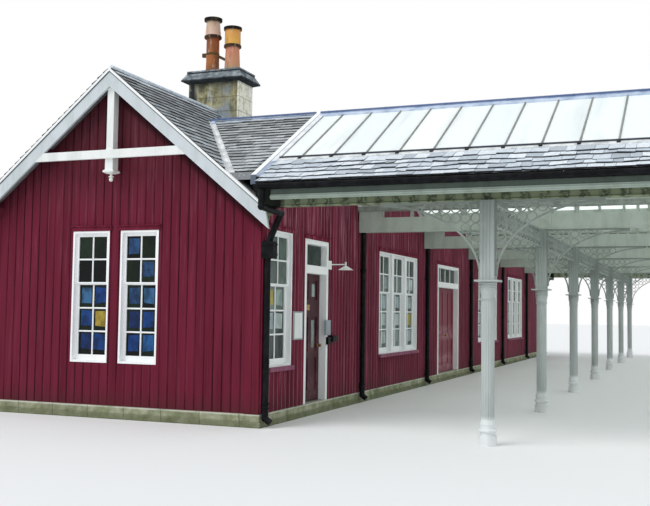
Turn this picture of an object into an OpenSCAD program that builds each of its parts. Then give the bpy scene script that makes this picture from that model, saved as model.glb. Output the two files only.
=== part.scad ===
// Timber railway station building with a ridge-and-furrow platform canopy.
// Millimetres, +Z up. X = 0 is the outer face of the platform wall, Y = 0 that of the
// near gable, and the platform runs along +Y. Every piece is then moved so that the
// origin lies on the ground in the middle of the building's outline.

/* [Building] */
// Spacing of the canopy columns and of the roof gablets along the platform
bay = 4270; // [3600:10:4600]
// Number of canopy bays
bays = 6; // [3:1:6]
// Width of the main range over the boarding
range_w = 4740; // [4200:10:5400]
// Thickness of the framed and boarded walls
wall_t = 150; // [120:5:200]
// Height of the stone plinth above the platform
plinth_h = 185; // [150:5:260]
// Width of the plinth stones
plinth_t = 300; // [260:10:400]
// Inset of each gable wall from the line of the end columns
gable_inset = 240; // [240:5:320]

/* [Main roof] */
// Height of the main ridge
ridge_z = 5090; // [4900:10:5300]
// Rise of the main slopes for each unit of run
main_rise = 0.823; // [0.78:0.005:0.84]
// Thickness of rafters, boarding and slates, square to the slope
roof_t = 110; // [90:5:140]
// Overhang of the roof in front of each gable
verge_w = 225; // [180:5:280]
// Overhang of the rear eaves
rear_eaves = 230; // [150:10:350]
// Thickness of the bargeboards
barge_t = 40; // [30:5:50]
// Depth of the bargeboards, square to the slope
barge_d = 210; // [170:5:240]
// Height of the top of the white collar across each gable
collar_z = 3888; // [3800:4:4000]

/* [Canopy] */
// Height of the ridges of the cross roofs
cross_z = 4674; // [4640:2:4700]
// Rise of the cross roofs for each unit of run
cross_rise = 0.566; // [0.55:0.002:0.575]
// Thickness of the cross roofs, square to the slope
cross_t = 90; // [80:2:100]
// Reach of the end eaves beyond the end columns
eaves_out = 338; // [300:2:400]
// Spacing of the glazing bars
bar_step = 466; // [440:2:480]
// Number of panes from the wall to the rail side
panes = 13; // [11:1:13]
// Width of the glazing bars and rafters
bar_w = 45; // [35:1:60]
// Length of the slated foot of each glazed slope, measured level
slated_foot = 415; // [380:5:460]
// Depth of the tie beams
tie_d = 258; // [200:2:280]
// Thickness of the tie beams
tie_t = 110; // [90:2:130]

/* [Columns] */
// Distance of the column row from the platform wall
column_x = 3170; // [2900:10:3300]
// Width of the square upper part of a column
upper_w = 175; // [150:1:200]
// Width of the slim lower shaft of a column
shaft_w = 160; // [130:1:170]
// Height of the top of the capital
capital_z = 2005; // [1900:5:2100]
// Reach of each curved bracket from the centre of its column
bracket_x = 1390; // [1200:10:1450]
// Thickness of the cast-iron brackets and frieze
iron_t = 24; // [16:1:30]
// Spacing of the cast rings that fill the brackets
ring_step = 125; // [110:1:140]
// Depth of the frieze between the columns
frieze_d = 300; // [240:10:360]

/* [Openings] */
// Height of the window sills
sill_z = 800; // [700:10:900]
// Height of the window heads
head_z = 2730; // [2600:10:2760]
// Width of a gable window over its lining
sash_w = 640; // [560:10:700]
// Width of a single platform window over its lining
single_sash_w = 780; // [640:10:820]
// Gap between the two windows of a gable
sash_gap = 192; // [150:2:300]
// Width of a triple sash window over its lining
triple_w = 2527; // [2300:1:2700]
// Height of the door heads
door_z = 2700; // [2600:10:2740]
// Width of the single doorway over its frame
single_w = 966; // [920:2:1100]
// Width of the double doorway over its frame
double_w = 2014; // [1900:2:2200]
// Height of the underside of the door transoms
transom_z = 2175; // [2100:5:2250]
// Gap left round each door leaf
leaf_gap = 5; // [5:0.5:8]

/* [Hidden] */
half = range_w / 2;
col_0 = -gable_inset;
length = bays * bay - 2 * gable_inset;
main_v = roof_t * sqrt(1 + main_rise * main_rise);
barge_v = barge_d * sqrt(1 + main_rise * main_rise);
cross_v = cross_t * sqrt(1 + cross_rise * cross_rise);
canopy_x = bar_w / 2 + 1 + panes * bar_step;
eave_y = col_0 - eaves_out;
seat = 0.3;
valley_half = 70;
gutter_half = 130;
gutter_wall = 10;
gutter_d = 66;
gutter_x = panes * bar_step;
barge_reach = half + 155;
foot_slant = 62;
bead_x = barge_reach + foot_slant - half + 5;
collar_d = 125;
king_w = 131;
king_d = 137;
king_z = collar_z - 343;
post_h = 122;
rail_d = 25;
base_z = 325;
flutes = 16;
rib_d = 26;
edge_d = 12;
ring_t = 13;
skew_w = 80;
skew_rise = 25;
canopy_0 = skew_w + 1;
notch_x = 165;
notch_y = 186;
end_gutter_x = 190;
end_fascia_x = 390;
gutter_r = 66;
rear_gutter_r = 55;
gutter_drop = 45;
outlet_x = 290;
outlet_y = eave_y - gutter_r;
bend_x = 260;
pipe_x = 70;
pipe_d = 90;
end_pipe_y = 45;
hopper_z = 2310;
hopper_h = 230;
pipe_foot_z = 130;
collar_foot_z = [250, 310, 2300];
hinge_z = [450, 1850];
purlin_d = 125;
purlin_run = [half - 1150, half - 210];
lamp_y = 2560;
lamp_z = 2340;
lamp_reach = 280;
notice_y = 1090;
notice_z = 1165;
notice_w = 340;
notice_h = 420;
tall_pot_h = 1020;
short_pot_h = 817;
skin = 4;
floor_t = 125;
glass_t = 12;
leaf_t = 44;
leaf_x = -wall_t;
hinge_r = 9;
leaf_z = plinth_h + 10;
leaf_rail = 110;
single_rows = [[leaf_z + 160, 860], [970, 1500], [1770, 2070]];
double_rows = [[leaf_z + 160, 950], [1100, 2070]];
jamb = 75;
lining = 30;
mullion = 130;
stile = 45;
meet_z = sill_z + 0.6 * (head_z - sill_z);
door_1_y = 1515;
door_2_y = 9376;
triple_y = [5122, 13662, 17932];
single_y = [248, length - 248 - single_sash_w];
single_leaf_w = single_w - 2 * jamb - 2 * leaf_gap;
double_leaf_w = (double_w - 2 * jamb - 3 * leaf_gap) / 2;
leaf_1_y = door_1_y + jamb + leaf_gap;
leaf_2_y = door_2_y + jamb + leaf_gap;
leaf_3_y = leaf_2_y + double_leaf_w + leaf_gap;
hinge_y = [leaf_1_y - leaf_gap / 2, leaf_2_y - leaf_gap / 2,
    leaf_3_y + double_leaf_w + leaf_gap / 2];
chimney_y = 2970;
chimney_x = -half - 52;
cap_z = ridge_z + 535;
cap_h = 231;
chimney_w = 994;
chimney_d = 560;
white = "#dfe3dd";
crimson = "#6d1f2e";
stone = "#a49c86";
slate = "#5a5d63";
lead = "#a9b2bd";
iron_black = "#15161a";
timber = "#7a6a54";

function main_top(x) = ridge_z - main_rise * abs(x + half);
function col_y(i) = col_0 + bay * i;
function ridge_y(i) = col_y(i) + bay / 2;
function cross_top(y, i) = cross_z - cross_rise * abs(y - ridge_y(i));
function foot_near(i) = i == 0 ? eave_y : col_y(i) + valley_half;
function foot_far(i) = i == bays - 1 ? length - eave_y : col_y(i + 1) - valley_half;
function bar_x(k) = k == 0 ? canopy_0 : k * bar_step + 1;
// Top of the valley gutters, whose inner edges carry the feet of the cross roofs
valley_z = floor(cross_top(col_0 + gutter_half - gutter_wall, 0) - cross_v);
tie_z = valley_z - gutter_d - post_h - tie_d;

module along_x(x0, x1) {
    translate([x0, 0, 0]) rotate([90, 0, 90]) linear_extrude(x1 - x0) children();
}

module along_y(y0, y1) {
    translate([0, y1, 0]) rotate([90, 0, 0]) linear_extrude(y1 - y0) children();
}

module box(x0, x1, y0, y1, z0, z1) {
    translate([x0, y0, z0]) cube([x1 - x0, y1 - y0, z1 - z0]);
}

// Repeats a piece of the near end at the far end.
module both_ends() {
    children();
    translate([0, length, 0]) mirror([0, 1, 0]) children();
}

// Turns a piece drawn for the near gable, with its depth along +Y, to the platform wall.
module on_platform_wall(y) {
    translate([0, y, 0]) rotate([0, 0, 90]) children();
}

// Band of a cross roof between two levels below its top surface, as a Y-Z outline.
module slope_band(i, y0, y1, drop, depth) {
    polygon([[y0, cross_top(y0, i) - drop], [y1, cross_top(y1, i) - drop],
        [y1, cross_top(y1, i) - drop - depth], [y0, cross_top(y0, i) - drop - depth]]);
}

// Everything under the main roof slabs, as an X-Z outline.
module under_main_roof() {
    x1 = 400;
    polygon([[-range_w - x1, -ridge_z], [-range_w - x1, main_top(x1) - main_v],
        [-half, ridge_z - main_v], [x1, main_top(x1) - main_v], [x1, -ridge_z]]);
}

module main_slab(side) {
    end = side > 0 ? half : half + rear_eaves;
    polygon([[-half, ridge_z], [-half + side * end, ridge_z - main_rise * end],
        [-half + side * end, ridge_z - main_rise * end - main_v], [-half, ridge_z - main_v]]);
}

// Masonry below the walls

// The base course stands out under the upper one, whose outer edge is weathered.
module plinth() {
    color(stone) difference() {
        union() {
            box(-range_w - 40, 30, -40, length + 40, 0, 0.4 * plinth_h);
            intersection() {
                along_x(-range_w - 20, 10) weathered(-20, length + 20);
                along_y(-20, length + 20) weathered(-range_w - 20, 10);
            }
        }
        box(-range_w - 20 + plinth_t, 10 - plinth_t, plinth_t - 20, length + 20 - plinth_t,
            -1, plinth_h + 1);
    }
}

module weathered(a, b) {
    bevel = 12;
    polygon([[a, 0], [a, plinth_h - bevel], [a + bevel, plinth_h], [b - bevel, plinth_h],
        [b, plinth_h - bevel], [b, 0]]);
}

module floor() {
    color(timber)
        box(-range_w - 20 + plinth_t, 10 - plinth_t, plinth_t - 20, length + 20 - plinth_t,
            plinth_h - floor_t, plinth_h);
}

// Walls

module gable_wall() {
    difference() {
        along_y(0, wall_t) intersection() {
            under_main_roof();
            translate([-range_w, plinth_h]) square([range_w, ridge_z]);
        }
        for (x = gable_window_x())
            box(x, x + sash_w, -1, wall_t + 1, sill_z, head_z);
    }
}

function gable_window_x() = [-half - sash_gap / 2 - sash_w, -half + sash_gap / 2];

module long_wall(x0, x1, y0, y1) {
    intersection() {
        along_y(y0, y1) under_main_roof();
        box(x0, x1, y0, y1, plinth_h, ridge_z);
    }
}

module platform_wall(y0, y1) {
    color(crimson) difference() {
        long_wall(-wall_t, 0, y0, y1);
        for (y = single_y)
            box(-wall_t - 1, 1, y, y + single_sash_w, sill_z, head_z);
        for (y = triple_y)
            box(-wall_t - 1, 1, y, y + triple_w, sill_z, head_z);
    }
}

module wall_gable_near() {
    color(crimson) gable_wall();
}

module wall_gable_far() {
    color(crimson) translate([0, length, 0]) mirror([0, 1, 0]) gable_wall();
}

module wall_rear() {
    color(crimson) long_wall(-range_w, -range_w + wall_t, wall_t, length - wall_t);
}

module wall_platform_1() {
    platform_wall(wall_t, door_1_y);
}

module wall_platform_2() {
    platform_wall(door_1_y + single_w, door_2_y);
}

module wall_platform_3() {
    platform_wall(door_2_y + double_w, length - wall_t);
}

module over_door(y, w) {
    intersection() {
        along_y(y, y + w) under_main_roof();
        box(-wall_t, 0, y, y + w, door_z, ridge_z);
    }
}

module walls_over_doors() {
    color(crimson) {
        over_door(door_1_y, single_w);
        over_door(door_2_y, double_w);
    }
}

// Boarded triangle that closes each cross roof above the platform wall.
module wall_gablets() {
    color(crimson) for (i = [0 : bays - 1]) {
        y0 = max(col_y(i) + gutter_half, 0);
        y1 = min(col_y(i + 1) - gutter_half, length);
        difference() {
            along_x(-wall_t, 0) polygon([[y0, 0], [y0, cross_top(y0, i) - cross_v],
                [ridge_y(i), cross_z - cross_v], [y1, cross_top(y1, i) - cross_v], [y1, 0]]);
            along_y(y0 - 1, y1 + 1) translate([0, main_v]) under_main_roof();
        }
    }
}

// Roofs of the main range

module roof_platform_side() {
    color(slate) difference() {
        along_y(-verge_w, length + verge_w) main_slab(1);
        chimney_well();
    }
}

module roof_rear_side() {
    color(slate) difference() {
        along_y(-verge_w, length + verge_w) main_slab(-1);
        chimney_well();
    }
}

module chimney_well() {
    box(chimney_x - chimney_w / 2, chimney_x + chimney_w / 2, chimney_y,
        chimney_y + chimney_d, 0, 2 * ridge_z);
}

module main_ridge() {
    color(lead) difference() {
        along_y(-verge_w, length + verge_w) ridge_piece(140, 18, main_rise, -half, ridge_z);
        translate([-1, -1, 0]) chimney_well();
        chimney_well();
    }
}

// Ridge piece with a wing down each slope and a roll along the top.
module ridge_piece(wing, rise, slope, x, z) {
    translate([x, z + seat]) {
        for (side = [-1, 1]) polygon([[0, 0], [0, rise], [side * wing, rise - slope * wing],
            [side * wing, -slope * wing]]);
        translate([0, rise + 8]) circle(r = 24, $fn = 24);
    }
}

module purlins() {
    color(crimson) both_ends() for (s = [-1, 1], d = purlin_run)
        along_y(-verge_w + 10, 0)
            translate([-half + s * d, ridge_z - main_rise * d - main_v - seat])
                rotate(-s * atan(main_rise)) translate([-purlin_d / 2, -purlin_d])
                    square(purlin_d);
}

// White verge boards, collar and king post of each gable

// One bargeboard, from the mitre under the ridge to its foot below the eaves.
module barge_outline(side) {
    tip = barge_reach + foot_slant;
    polygon([[side * seat / 2, ridge_z], [side * barge_reach, barge_top(barge_reach)],
        [side * tip, barge_top(tip) - barge_v], [side * seat / 2, ridge_z - barge_v]]);
}

function barge_top(run) = ridge_z - main_rise * run;

// Fillet along the top edge of a bargeboard.
module barge_fillet(side) {
    d = 46;
    polygon([[side * seat / 2, ridge_z], [side * barge_reach, barge_top(barge_reach)],
        [side * barge_reach, barge_top(barge_reach) - d], [side * seat / 2, ridge_z - d]]);
}

// Moulded return of a bargeboard's foot, as an outline seen from the gable.
module barge_return(side) {
    z = min(barge_top(barge_reach) - 24, tie_z - seat);
    scale([side, 1]) translate([barge_reach, z]) difference() {
        polygon([[-90, -50], [-24, 0], [40, 0], [40, -30], [18, -44], [18, -70], [-40, -175],
            [-90, -175]]);
        translate([30, -125]) circle(r = 52, $fn = 32);
    }
}

// What the rear eaves take up: the slab, and the gutter beyond it.
module rear_eaves_outline() {
    for (drop = [0, seat]) translate([0, -drop]) main_slab(-1);
    translate([-range_w - rear_eaves - 400, 0]) square([400 + seat, ridge_z]);
}

module bargeboards() {
    color(white) both_ends() for (side = [-1, 1]) {
        along_y(-verge_w - barge_t, -verge_w) translate([-half, 0]) barge_outline(side);
        along_y(-verge_w - barge_t - 14, -verge_w - barge_t)
            translate([-half, 0]) barge_fillet(side);
        along_y(-verge_w, -40) difference() {
            translate([-half, 0]) barge_return(side);
            if (side < 0) rear_eaves_outline();
        }
    }
}

module collar_outline() {
    run = (ridge_z - barge_v - collar_z) / main_rise;
    polygon([[-half - run, collar_z], [-half - run - collar_d / main_rise, collar_z - collar_d],
        [-half + run + collar_d / main_rise, collar_z - collar_d], [-half + run, collar_z]]);
}

module collars() {
    color(white) both_ends() along_y(-verge_w - barge_t, -verge_w) collar_outline();
}

// Square post behind the collar, stop-chamfered, with a moulded cap and a turned drop.
module king_posts() {
    w = king_w / 2;
    y = -verge_w + king_d / 2;
    color(white) both_ends() translate([-half, y, 0]) {
        intersection() {
            along_y(-king_d / 2, king_d / 2) post_outline(w);
            along_x(-w, w) post_outline(king_d / 2);
        }
        intersection() {
            along_y(-100, 100) cap_outline(w);
            along_x(-100, 100) cap_outline(w);
        }
        rotate_extrude($fn = 32) drop_outline();
    }
}

// Half width w at the ends, with the chamfered stretch a little slimmer.
module post_outline(w) {
    slim = 9;
    top = ridge_z - main_v - main_rise * king_w / 2 - 5;
    z = [king_z + 60, collar_z, collar_z + 25, top - 120, top - 95, top];
    x = [w, w, w - slim, w - slim, w, w];
    polygon(concat([for (i = [0 : 5]) [-x[i], z[i]]], [for (i = [5 : -1 : 0]) [x[i], z[i]]]));
}

module cap_outline(w) {
    x = [w - 22, w + 8, w + 24, w + 24, w + 2];
    z = [king_z, king_z + 12, king_z + 24, king_z + 42, king_z + 62];
    polygon(concat([for (i = [0 : 4]) [-x[i], z[i]]], [for (i = [4 : -1 : 0]) [x[i], z[i]]]));
}

module drop_outline() {
    intersection() {
        union() {
            translate([0, king_z - 82]) circle(r = 30, $fn = 32);
            translate([0, king_z - 48]) square([38, 14]);
            translate([0, king_z - 60]) square([20, 70]);
        }
        translate([0, king_z - 200]) square([100, 210]);
    }
}

// Slated cross roofs over the building, and the skews between them and the glazed canopy

function start(i, near) = near ? foot_near(i) : ridge_y(i);
function stop(i, near) = near ? ridge_y(i) : foot_far(i);

module cross_roof_side(near) {
    color(slate) for (i = [0 : bays - 1]) difference() {
        along_x(-half, 0)
            slope_band(i, max(start(i, near), -verge_w), min(stop(i, near), length + verge_w),
                0, cross_v);
        along_y(eave_y, length - eave_y) translate([0, main_v]) under_main_roof();
    }
}

module cross_roofs_near() {
    cross_roof_side(true);
}

module cross_roofs_far() {
    cross_roof_side(false);
}

module skew_side(near) {
    color(white) for (i = [0 : bays - 1])
        along_x(0, skew_w)
            slope_band(i, max(start(i, near), eave_y + notch_y),
                min(stop(i, near), length - eave_y - notch_y), -skew_rise,
                cross_v + skew_rise);
}

module skews_near() {
    skew_side(true);
}

module skews_far() {
    skew_side(false);
}

module valley_gutters() {
    color(lead) for (i = [1 : bays - 1]) difference() {
        box(-half, gutter_x, col_y(i) - gutter_half, col_y(i) + gutter_half,
            valley_z - gutter_d, valley_z);
        box(-half - 1, gutter_x - gutter_wall, col_y(i) - gutter_half + gutter_wall,
            col_y(i) + gutter_half - gutter_wall, valley_z - gutter_d + gutter_wall,
            valley_z + 1);
        // The end wall stays under the foot rails of the cross roofs.
        box(gutter_x - gutter_wall - 1, gutter_x + 1, col_y(i) - gutter_half + gutter_wall,
            col_y(i) + gutter_half - gutter_wall,
            cross_top(col_y(i) + valley_half, i) - cross_v - seat, valley_z + 1);
        along_y(col_y(i) - bay, col_y(i) + bay) translate([0, main_v]) under_main_roof();
    }
}

// Chimney

module chimney_stack() {
    color(stone)
        box(chimney_x - chimney_w / 2, chimney_x + chimney_w / 2, chimney_y,
            chimney_y + chimney_d, ridge_z - 1000, cap_z);
}

// Two oversailing courses: a flared one and a slab above it.
module chimney_cap() {
    x = chimney_w / 2;
    y = chimney_d / 2;
    color(stone) translate([chimney_x, chimney_y + y, cap_z]) intersection() {
        along_y(-y - 200, y + 200) cap_courses(x);
        along_x(-x - 200, x + 200) cap_courses(y);
    }
}

module cap_courses(w) {
    x = [w, w + 106, w + 106, w + 26, w + 30, w + 30];
    z = [0, 40, 62, 190, 199, cap_h];
    polygon(concat([for (i = [0 : 5]) [-x[i], z[i]]], [for (i = [5 : -1 : 0]) [x[i], z[i]]]));
}

// Turned pot of height h: the shaft spreads from r to foot_r, and over a collar ring the
// head narrows from head_r to top_r under the dark rim.
module pot(h, r, foot_r, head_r, top_r) {
    rim_r = 164;
    rotate_extrude($fn = 40) {
        polygon([[0, 0], [foot_r, 0], [r, h - 368], [head_r + 8, h - 368],
            [head_r + 14, h - 358], [head_r + 14, h - 328], [head_r, h - 318],
            [top_r, h - 66], [rim_r - 4, h - 50], [rim_r, h - 44], [rim_r, h],
            [rim_r - 42, h], [r - 30, h - 120], [r - 30, h - 250], [0, h - 250]]);
    }
}

module chimney_pots() {
    color("#b06a45") translate([chimney_x, chimney_y + chimney_d / 2, cap_z + cap_h]) {
        translate([-182, 0, 0]) pot(tall_pot_h, 116, 122, 144, 120);
        translate([220, 0, 0]) pot(short_pot_h, 122, 144, 144, 141);
    }
}

// Glazed canopy

module frame_outline(i, near) {
    slope_band(i, start(i, near), stop(i, near), glass_t, cross_v - glass_t);
}

// Glazing bars, ridge board, trimmer and foot rail of one slope of every bay, with jack
// rafters halfway between the bars under the slates.
module frame_side(near) {
    color(white) for (i = [0 : bays - 1]) difference() {
        split = near ? split_near(i) : split_far(i);
        foot = near ? foot_near(i) : foot_far(i);
        union() {
            for (k = [0 : panes])
                along_x(bar_x(k), bar_x(k) + bar_w) frame_outline(i, near);
            for (k = [0 : panes - 1])
                along_x((k + 0.5) * bar_step + 1, (k + 0.5) * bar_step + bar_w + 1)
                    slope_band(i, min(split, foot), max(split, foot), glass_t,
                        cross_v - glass_t);
            canopy_length() intersection() {
                frame_outline(i, near);
                for (y = [ridge_y(i), split,
                        near ? col_y(i) + valley_half + 30 : col_y(i + 1) - valley_half - 30])
                    translate([y - 30, 0]) square([60, 2 * ridge_z]);
            }
        }
        end_notches();
    }
}

module canopy_length() {
    along_x(canopy_0, canopy_x + bar_w / 2) children();
}

// Corner cut out of each end eave beside the wall, where the bargeboard's foot passes.
module end_notches() {
    both_ends() box(0, notch_x, eave_y - 1, eave_y + notch_y, 0, ridge_z);
}

module canopy_frames_near() {
    frame_side(true);
}

module canopy_frames_far() {
    frame_side(false);
}

function split_near(i) = col_y(i) + slated_foot;
function split_far(i) = col_y(i + 1) - slated_foot;

module canopy_glass_near() {
    color("#dfe9ec", 0.5) for (i = [0 : bays - 1])
        canopy_length() slope_band(i, split_near(i), ridge_y(i) - skin, 0, glass_t);
}

module canopy_glass_far() {
    color("#dfe9ec", 0.5) for (i = [0 : bays - 1])
        canopy_length() slope_band(i, ridge_y(i) + skin, split_far(i), 0, glass_t);
}

module canopy_slates() {
    color(slate) difference() {
        for (i = [0 : bays - 1]) {
            canopy_length() slope_band(i, foot_near(i), split_near(i), 0, glass_t);
            canopy_length() slope_band(i, split_far(i), foot_far(i), 0, glass_t);
        }
        end_notches();
    }
}

// Ridge pieces on both sides of the skews. Those over the building run into the main slope.
module canopy_ridges() {
    color(lead) {
        for (i = [0 : bays - 1]) canopy_length()
            ridge_piece(110, 18, cross_rise, ridge_y(i), cross_z);
        difference() {
            for (i = [0 : bays - 1]) along_x(-half, 0)
                ridge_piece(110, 18, cross_rise, ridge_y(i), cross_z);
            along_y(0, length) translate([0, main_v + seat]) under_main_roof();
        }
    }
}

// Half-round gutter outline, open at the top, with its inner edge at y = 0.
module half_round(r) {
    translate([-r, 0]) {
        difference() {
            circle(r = r, $fn = 40);
            circle(r = r - 5, $fn = 40);
            translate([-r - 1, 0]) square([2 * r + 2, r + 1]);
        }
        translate([8 - r, 0]) circle(r = 8, $fn = 16);
    }
}

// Gutters of both end slopes, with the spigot that drains each, and of the rear eaves.
module eaves_gutters() {
    z = cross_top(eave_y, 0) - gutter_drop;
    x = -range_w - rear_eaves;
    z_rear = ridge_z - main_rise * (half + rear_eaves) - gutter_drop;
    color(iron_black) {
        both_ends() {
            along_x(end_gutter_x, canopy_x + bar_w / 2)
                translate([eave_y, z]) half_round(gutter_r);
            for (x0 = [end_gutter_x, canopy_x + bar_w / 2 - 5])
                along_x(x0, x0 + 5) translate([eave_y, z]) gutter_end(gutter_r);
            translate([outlet_x, outlet_y, spigot_z]) cylinder(h = 35, d = pipe_d, $fn = 24);
        }
        along_y(-verge_w, length + verge_w) translate([x, z_rear]) half_round(rear_gutter_r);
        both_ends() along_y(-verge_w, -verge_w + 5)
            translate([x, z_rear]) gutter_end(rear_gutter_r);
    }
}

// Foot of the spigots under the end gutters
spigot_z = cross_top(eave_y, 0) - gutter_drop - gutter_r - 30;

module gutter_end(r) {
    translate([-r, 0]) difference() {
        circle(r = r, $fn = 40);
        translate([-r - 1, 0]) square([2 * r + 2, r + 1]);
    }
}

// Fascia under the end gutters, with a moulded lower edge.
module end_fascias() {
    z = cross_top(eave_y, 0);
    low = z - 235;
    color(white) both_ends() along_x(end_fascia_x, canopy_x + bar_w / 2) translate([eave_y, 0]) {
        translate([0, low]) square([30, 235 - cross_v]);
        translate([-16, low]) square([46, 62]);
        translate([-16, low + 31]) circle(r = 14, $fn = 24);
    }
}

// Bargeboards that close the cross roofs on the rail side.
module rail_barge_side(near) {
    x = canopy_x + bar_w / 2;
    color(white) for (i = [0 : bays - 1])
        along_x(x, x + barge_t) slope_band(i, start(i, near), stop(i, near), 0, 240);
}

module rail_barges_near() {
    rail_barge_side(true);
}

module rail_barges_far() {
    rail_barge_side(false);
}

function tie_y(i) = i == 0 ? -verge_w + tie_t / 2
    : i == bays ? length + verge_w - tie_t / 2 : col_y(i);

module tie_beams() {
    color(white) for (i = [0 : bays]) {
        along_x(0, canopy_x + bar_w / 2) translate([tie_y(i) - tie_t / 2, tie_z])
            square([tie_t, tie_d]);
        along_x(bead_x, canopy_x + bar_w / 2) translate([tie_y(i), tie_z]) beads();
        if (i > 0 && i < bays) along_y(tie_y(i) - tie_t / 2 - 30, tie_y(i) - tie_t / 2)
            polygon([[column_x - 195, tie_z + tie_d + post_h], [column_x + 168, tie_z + 52],
                [column_x + 168, tie_z + tie_d + post_h]]);
    }
}

// Bead along each lower edge of a beam, stopped short of the bargeboard's foot.
module beads() {
    for (side = [-1, 1]) translate([side * (tie_t / 2 + 1), 12]) circle(r = 12, $fn = 24);
}

module valley_posts() {
    color(white) for (i = [1 : bays - 1]) {
        box(1, 430, col_y(i) - tie_t / 2, col_y(i) + tie_t / 2, tie_z + tie_d,
            valley_z - gutter_d);
        for (k = [1 : floor(panes / 2)])
            box(bar_x(2 * k), bar_x(2 * k) + bar_w, col_y(i) - 40, col_y(i) + 40,
                tie_z + tie_d, valley_z - gutter_d);
    }
    color(white) both_ends() for (k = [0 : panes])
        box(bar_x(k), bar_x(k) + bar_w, tie_y(0) - tie_t / 2, tie_y(0) + tie_t / 2,
            tie_z + tie_d, cross_top(tie_y(0) - tie_t / 2, 0) - cross_v);
}

// Iron column: turned base and capital, fluted shaft and a square, grooved upper part.
module column() {
    r = shaft_w / 2;
    rotate_extrude($fn = 48) {
        base_outline(r);
        capital_outline(r);
    }
    translate([0, 0, base_z]) linear_extrude(capital_z - 240 - base_z) fluted(r);
    box(-145, 145, -145, 145, capital_z - 22, capital_z);
    translate([0, 0, capital_z]) linear_extrude(tie_z - capital_z) grooved(upper_w / 2);
}

module base_outline(r) {
    square([r + 32, 123]);
    square([r + 12, base_z - 45]);
    translate([r + 12, 184]) circle(r = 25, $fn = 24);
    translate([r - 2, base_z - 68]) circle(r = 18, $fn = 24);
    polygon([[0, base_z - 60], [r + 14, base_z - 60], [r + 2, base_z - 20], [r + 2, base_z],
        [0, base_z]]);
}

module capital_outline(r) {
    z = capital_z - 22;
    translate([0, z - 220]) square([r + 2, 220]);
    translate([0, z - 105]) square([r + 16, 105]);
    for (drop = [18, 50, 82]) translate([r + 14, z - drop]) circle(r = 11, $fn = 24);
    polygon([[0, z - 175], [r + 2, z - 175], [r + 16, z - 105], [0, z - 105]]);
    for (drop = [192, 212]) translate([r + 1, z - drop]) circle(r = 9, $fn = 24);
}

module fluted(r) {
    difference() {
        circle(r = r, $fn = 48);
        for (k = [0 : flutes - 1]) rotate(k * 360 / flutes) translate([r + 4, 0])
            circle(r = 11, $fn = 16);
    }
}

module grooved(w) {
    difference() {
        square(2 * w, center = true);
        for (turn = [0 : 90 : 270], y = [-0.46, 0, 0.46]) rotate(turn)
            translate([w + 4, y * w]) circle(r = 12, $fn = 16);
    }
}

module columns() {
    color(white) for (i = [0 : bays])
        translate([column_x, column_y(i), 0]) column();
}

function column_y(i) = i == 0 ? col_y(0) + 30 : i == bays ? col_y(bays) - 30 : col_y(i);

// Quarter ellipse that springs from a column at the origin and dies into the tie beam.
// With inset 0 it is the edge next to the lace, with inset rib_d the free edge.
function spring_z() = capital_z + 45;
function arc_w() = bracket_x - upper_w / 2;
function arc_h() = tie_z - spring_z() - 20;
function arc(inset) = [for (a = [0 : 5 : 90])
    [arc_w() - (arc_w() - inset) * cos(a), (arc_h() - inset) * sin(a)]];
function outside_arc(x, z) = pow((x - arc_w()) / arc_w(), 2) + pow(z / arc_h(), 2) > 1.02;

module ring(d, t) {
    difference() {
        circle(d = d, $fn = 32);
        circle(d = d - 2 * t, $fn = 32);
    }
}

// Cast spandrel bracket: two straight rails, a curved rib and a lace of rings that touch
// each other, cut off along the rib.
module bracket() {
    top = tie_z - spring_z();
    reach = floor(arc_w() / ring_step);
    square([edge_d, top]);
    translate([0, top - rail_d]) square([arc_w(), rail_d]);
    polygon(concat(arc(0), [for (i = [18 : -1 : 0]) arc(rib_d)[i]]));
    intersection() {
        polygon(concat([[0, 0]], arc(6), [[arc_w(), top], [0, top]]));
        for (i = [0 : reach], j = [0 : reach]) {
            x = edge_d - 2 + (i + 0.5) * ring_step;
            z = top - rail_d + 2 - (j + 0.5) * ring_step;
            if (outside_arc(x, z)) translate([x, z]) ring(ring_step + 3, ring_t);
        }
    }
}

module brackets(side) {
    color(white) for (i = [0 : bays])
        along_y(column_y(i) - iron_t / 2, column_y(i) + iron_t / 2)
            translate([column_x + side * upper_w / 2, spring_z()]) scale([side, 1]) bracket();
}

module brackets_wall_side() {
    brackets(-1);
}

module brackets_rail_side() {
    brackets(1);
}

// Frieze between two columns: rails above and below a row of wheels.
module frieze(w) {
    wheel = frieze_d - 2 * rail_d + 2;
    count = floor(w / wheel);
    square([w, rail_d]);
    translate([0, frieze_d - rail_d]) square([w, rail_d]);
    for (x = [0, w - rail_d]) translate([x, 0]) square([rail_d, frieze_d]);
    for (k = [0 : count - 1]) translate([w / 2 + (k - (count - 1) / 2) * (wheel - 3),
            frieze_d / 2]) {
        ring(wheel, ring_t);
        ring(0.42 * wheel, ring_t);
        for (turn = [45, 135]) rotate(turn) difference() {
            square([wheel - ring_t, ring_t], center = true);
            circle(d = 0.42 * wheel - ring_t, $fn = 32);
        }
    }
}

module friezes() {
    color(white) for (i = [0 : bays - 1])
        along_x(column_x - iron_t / 2, column_x + iron_t / 2)
            translate([column_y(i) + upper_w / 2, tie_z - frieze_d])
                frieze(column_y(i + 1) - column_y(i) - upper_w);
}

// Rainwater pipes

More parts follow.
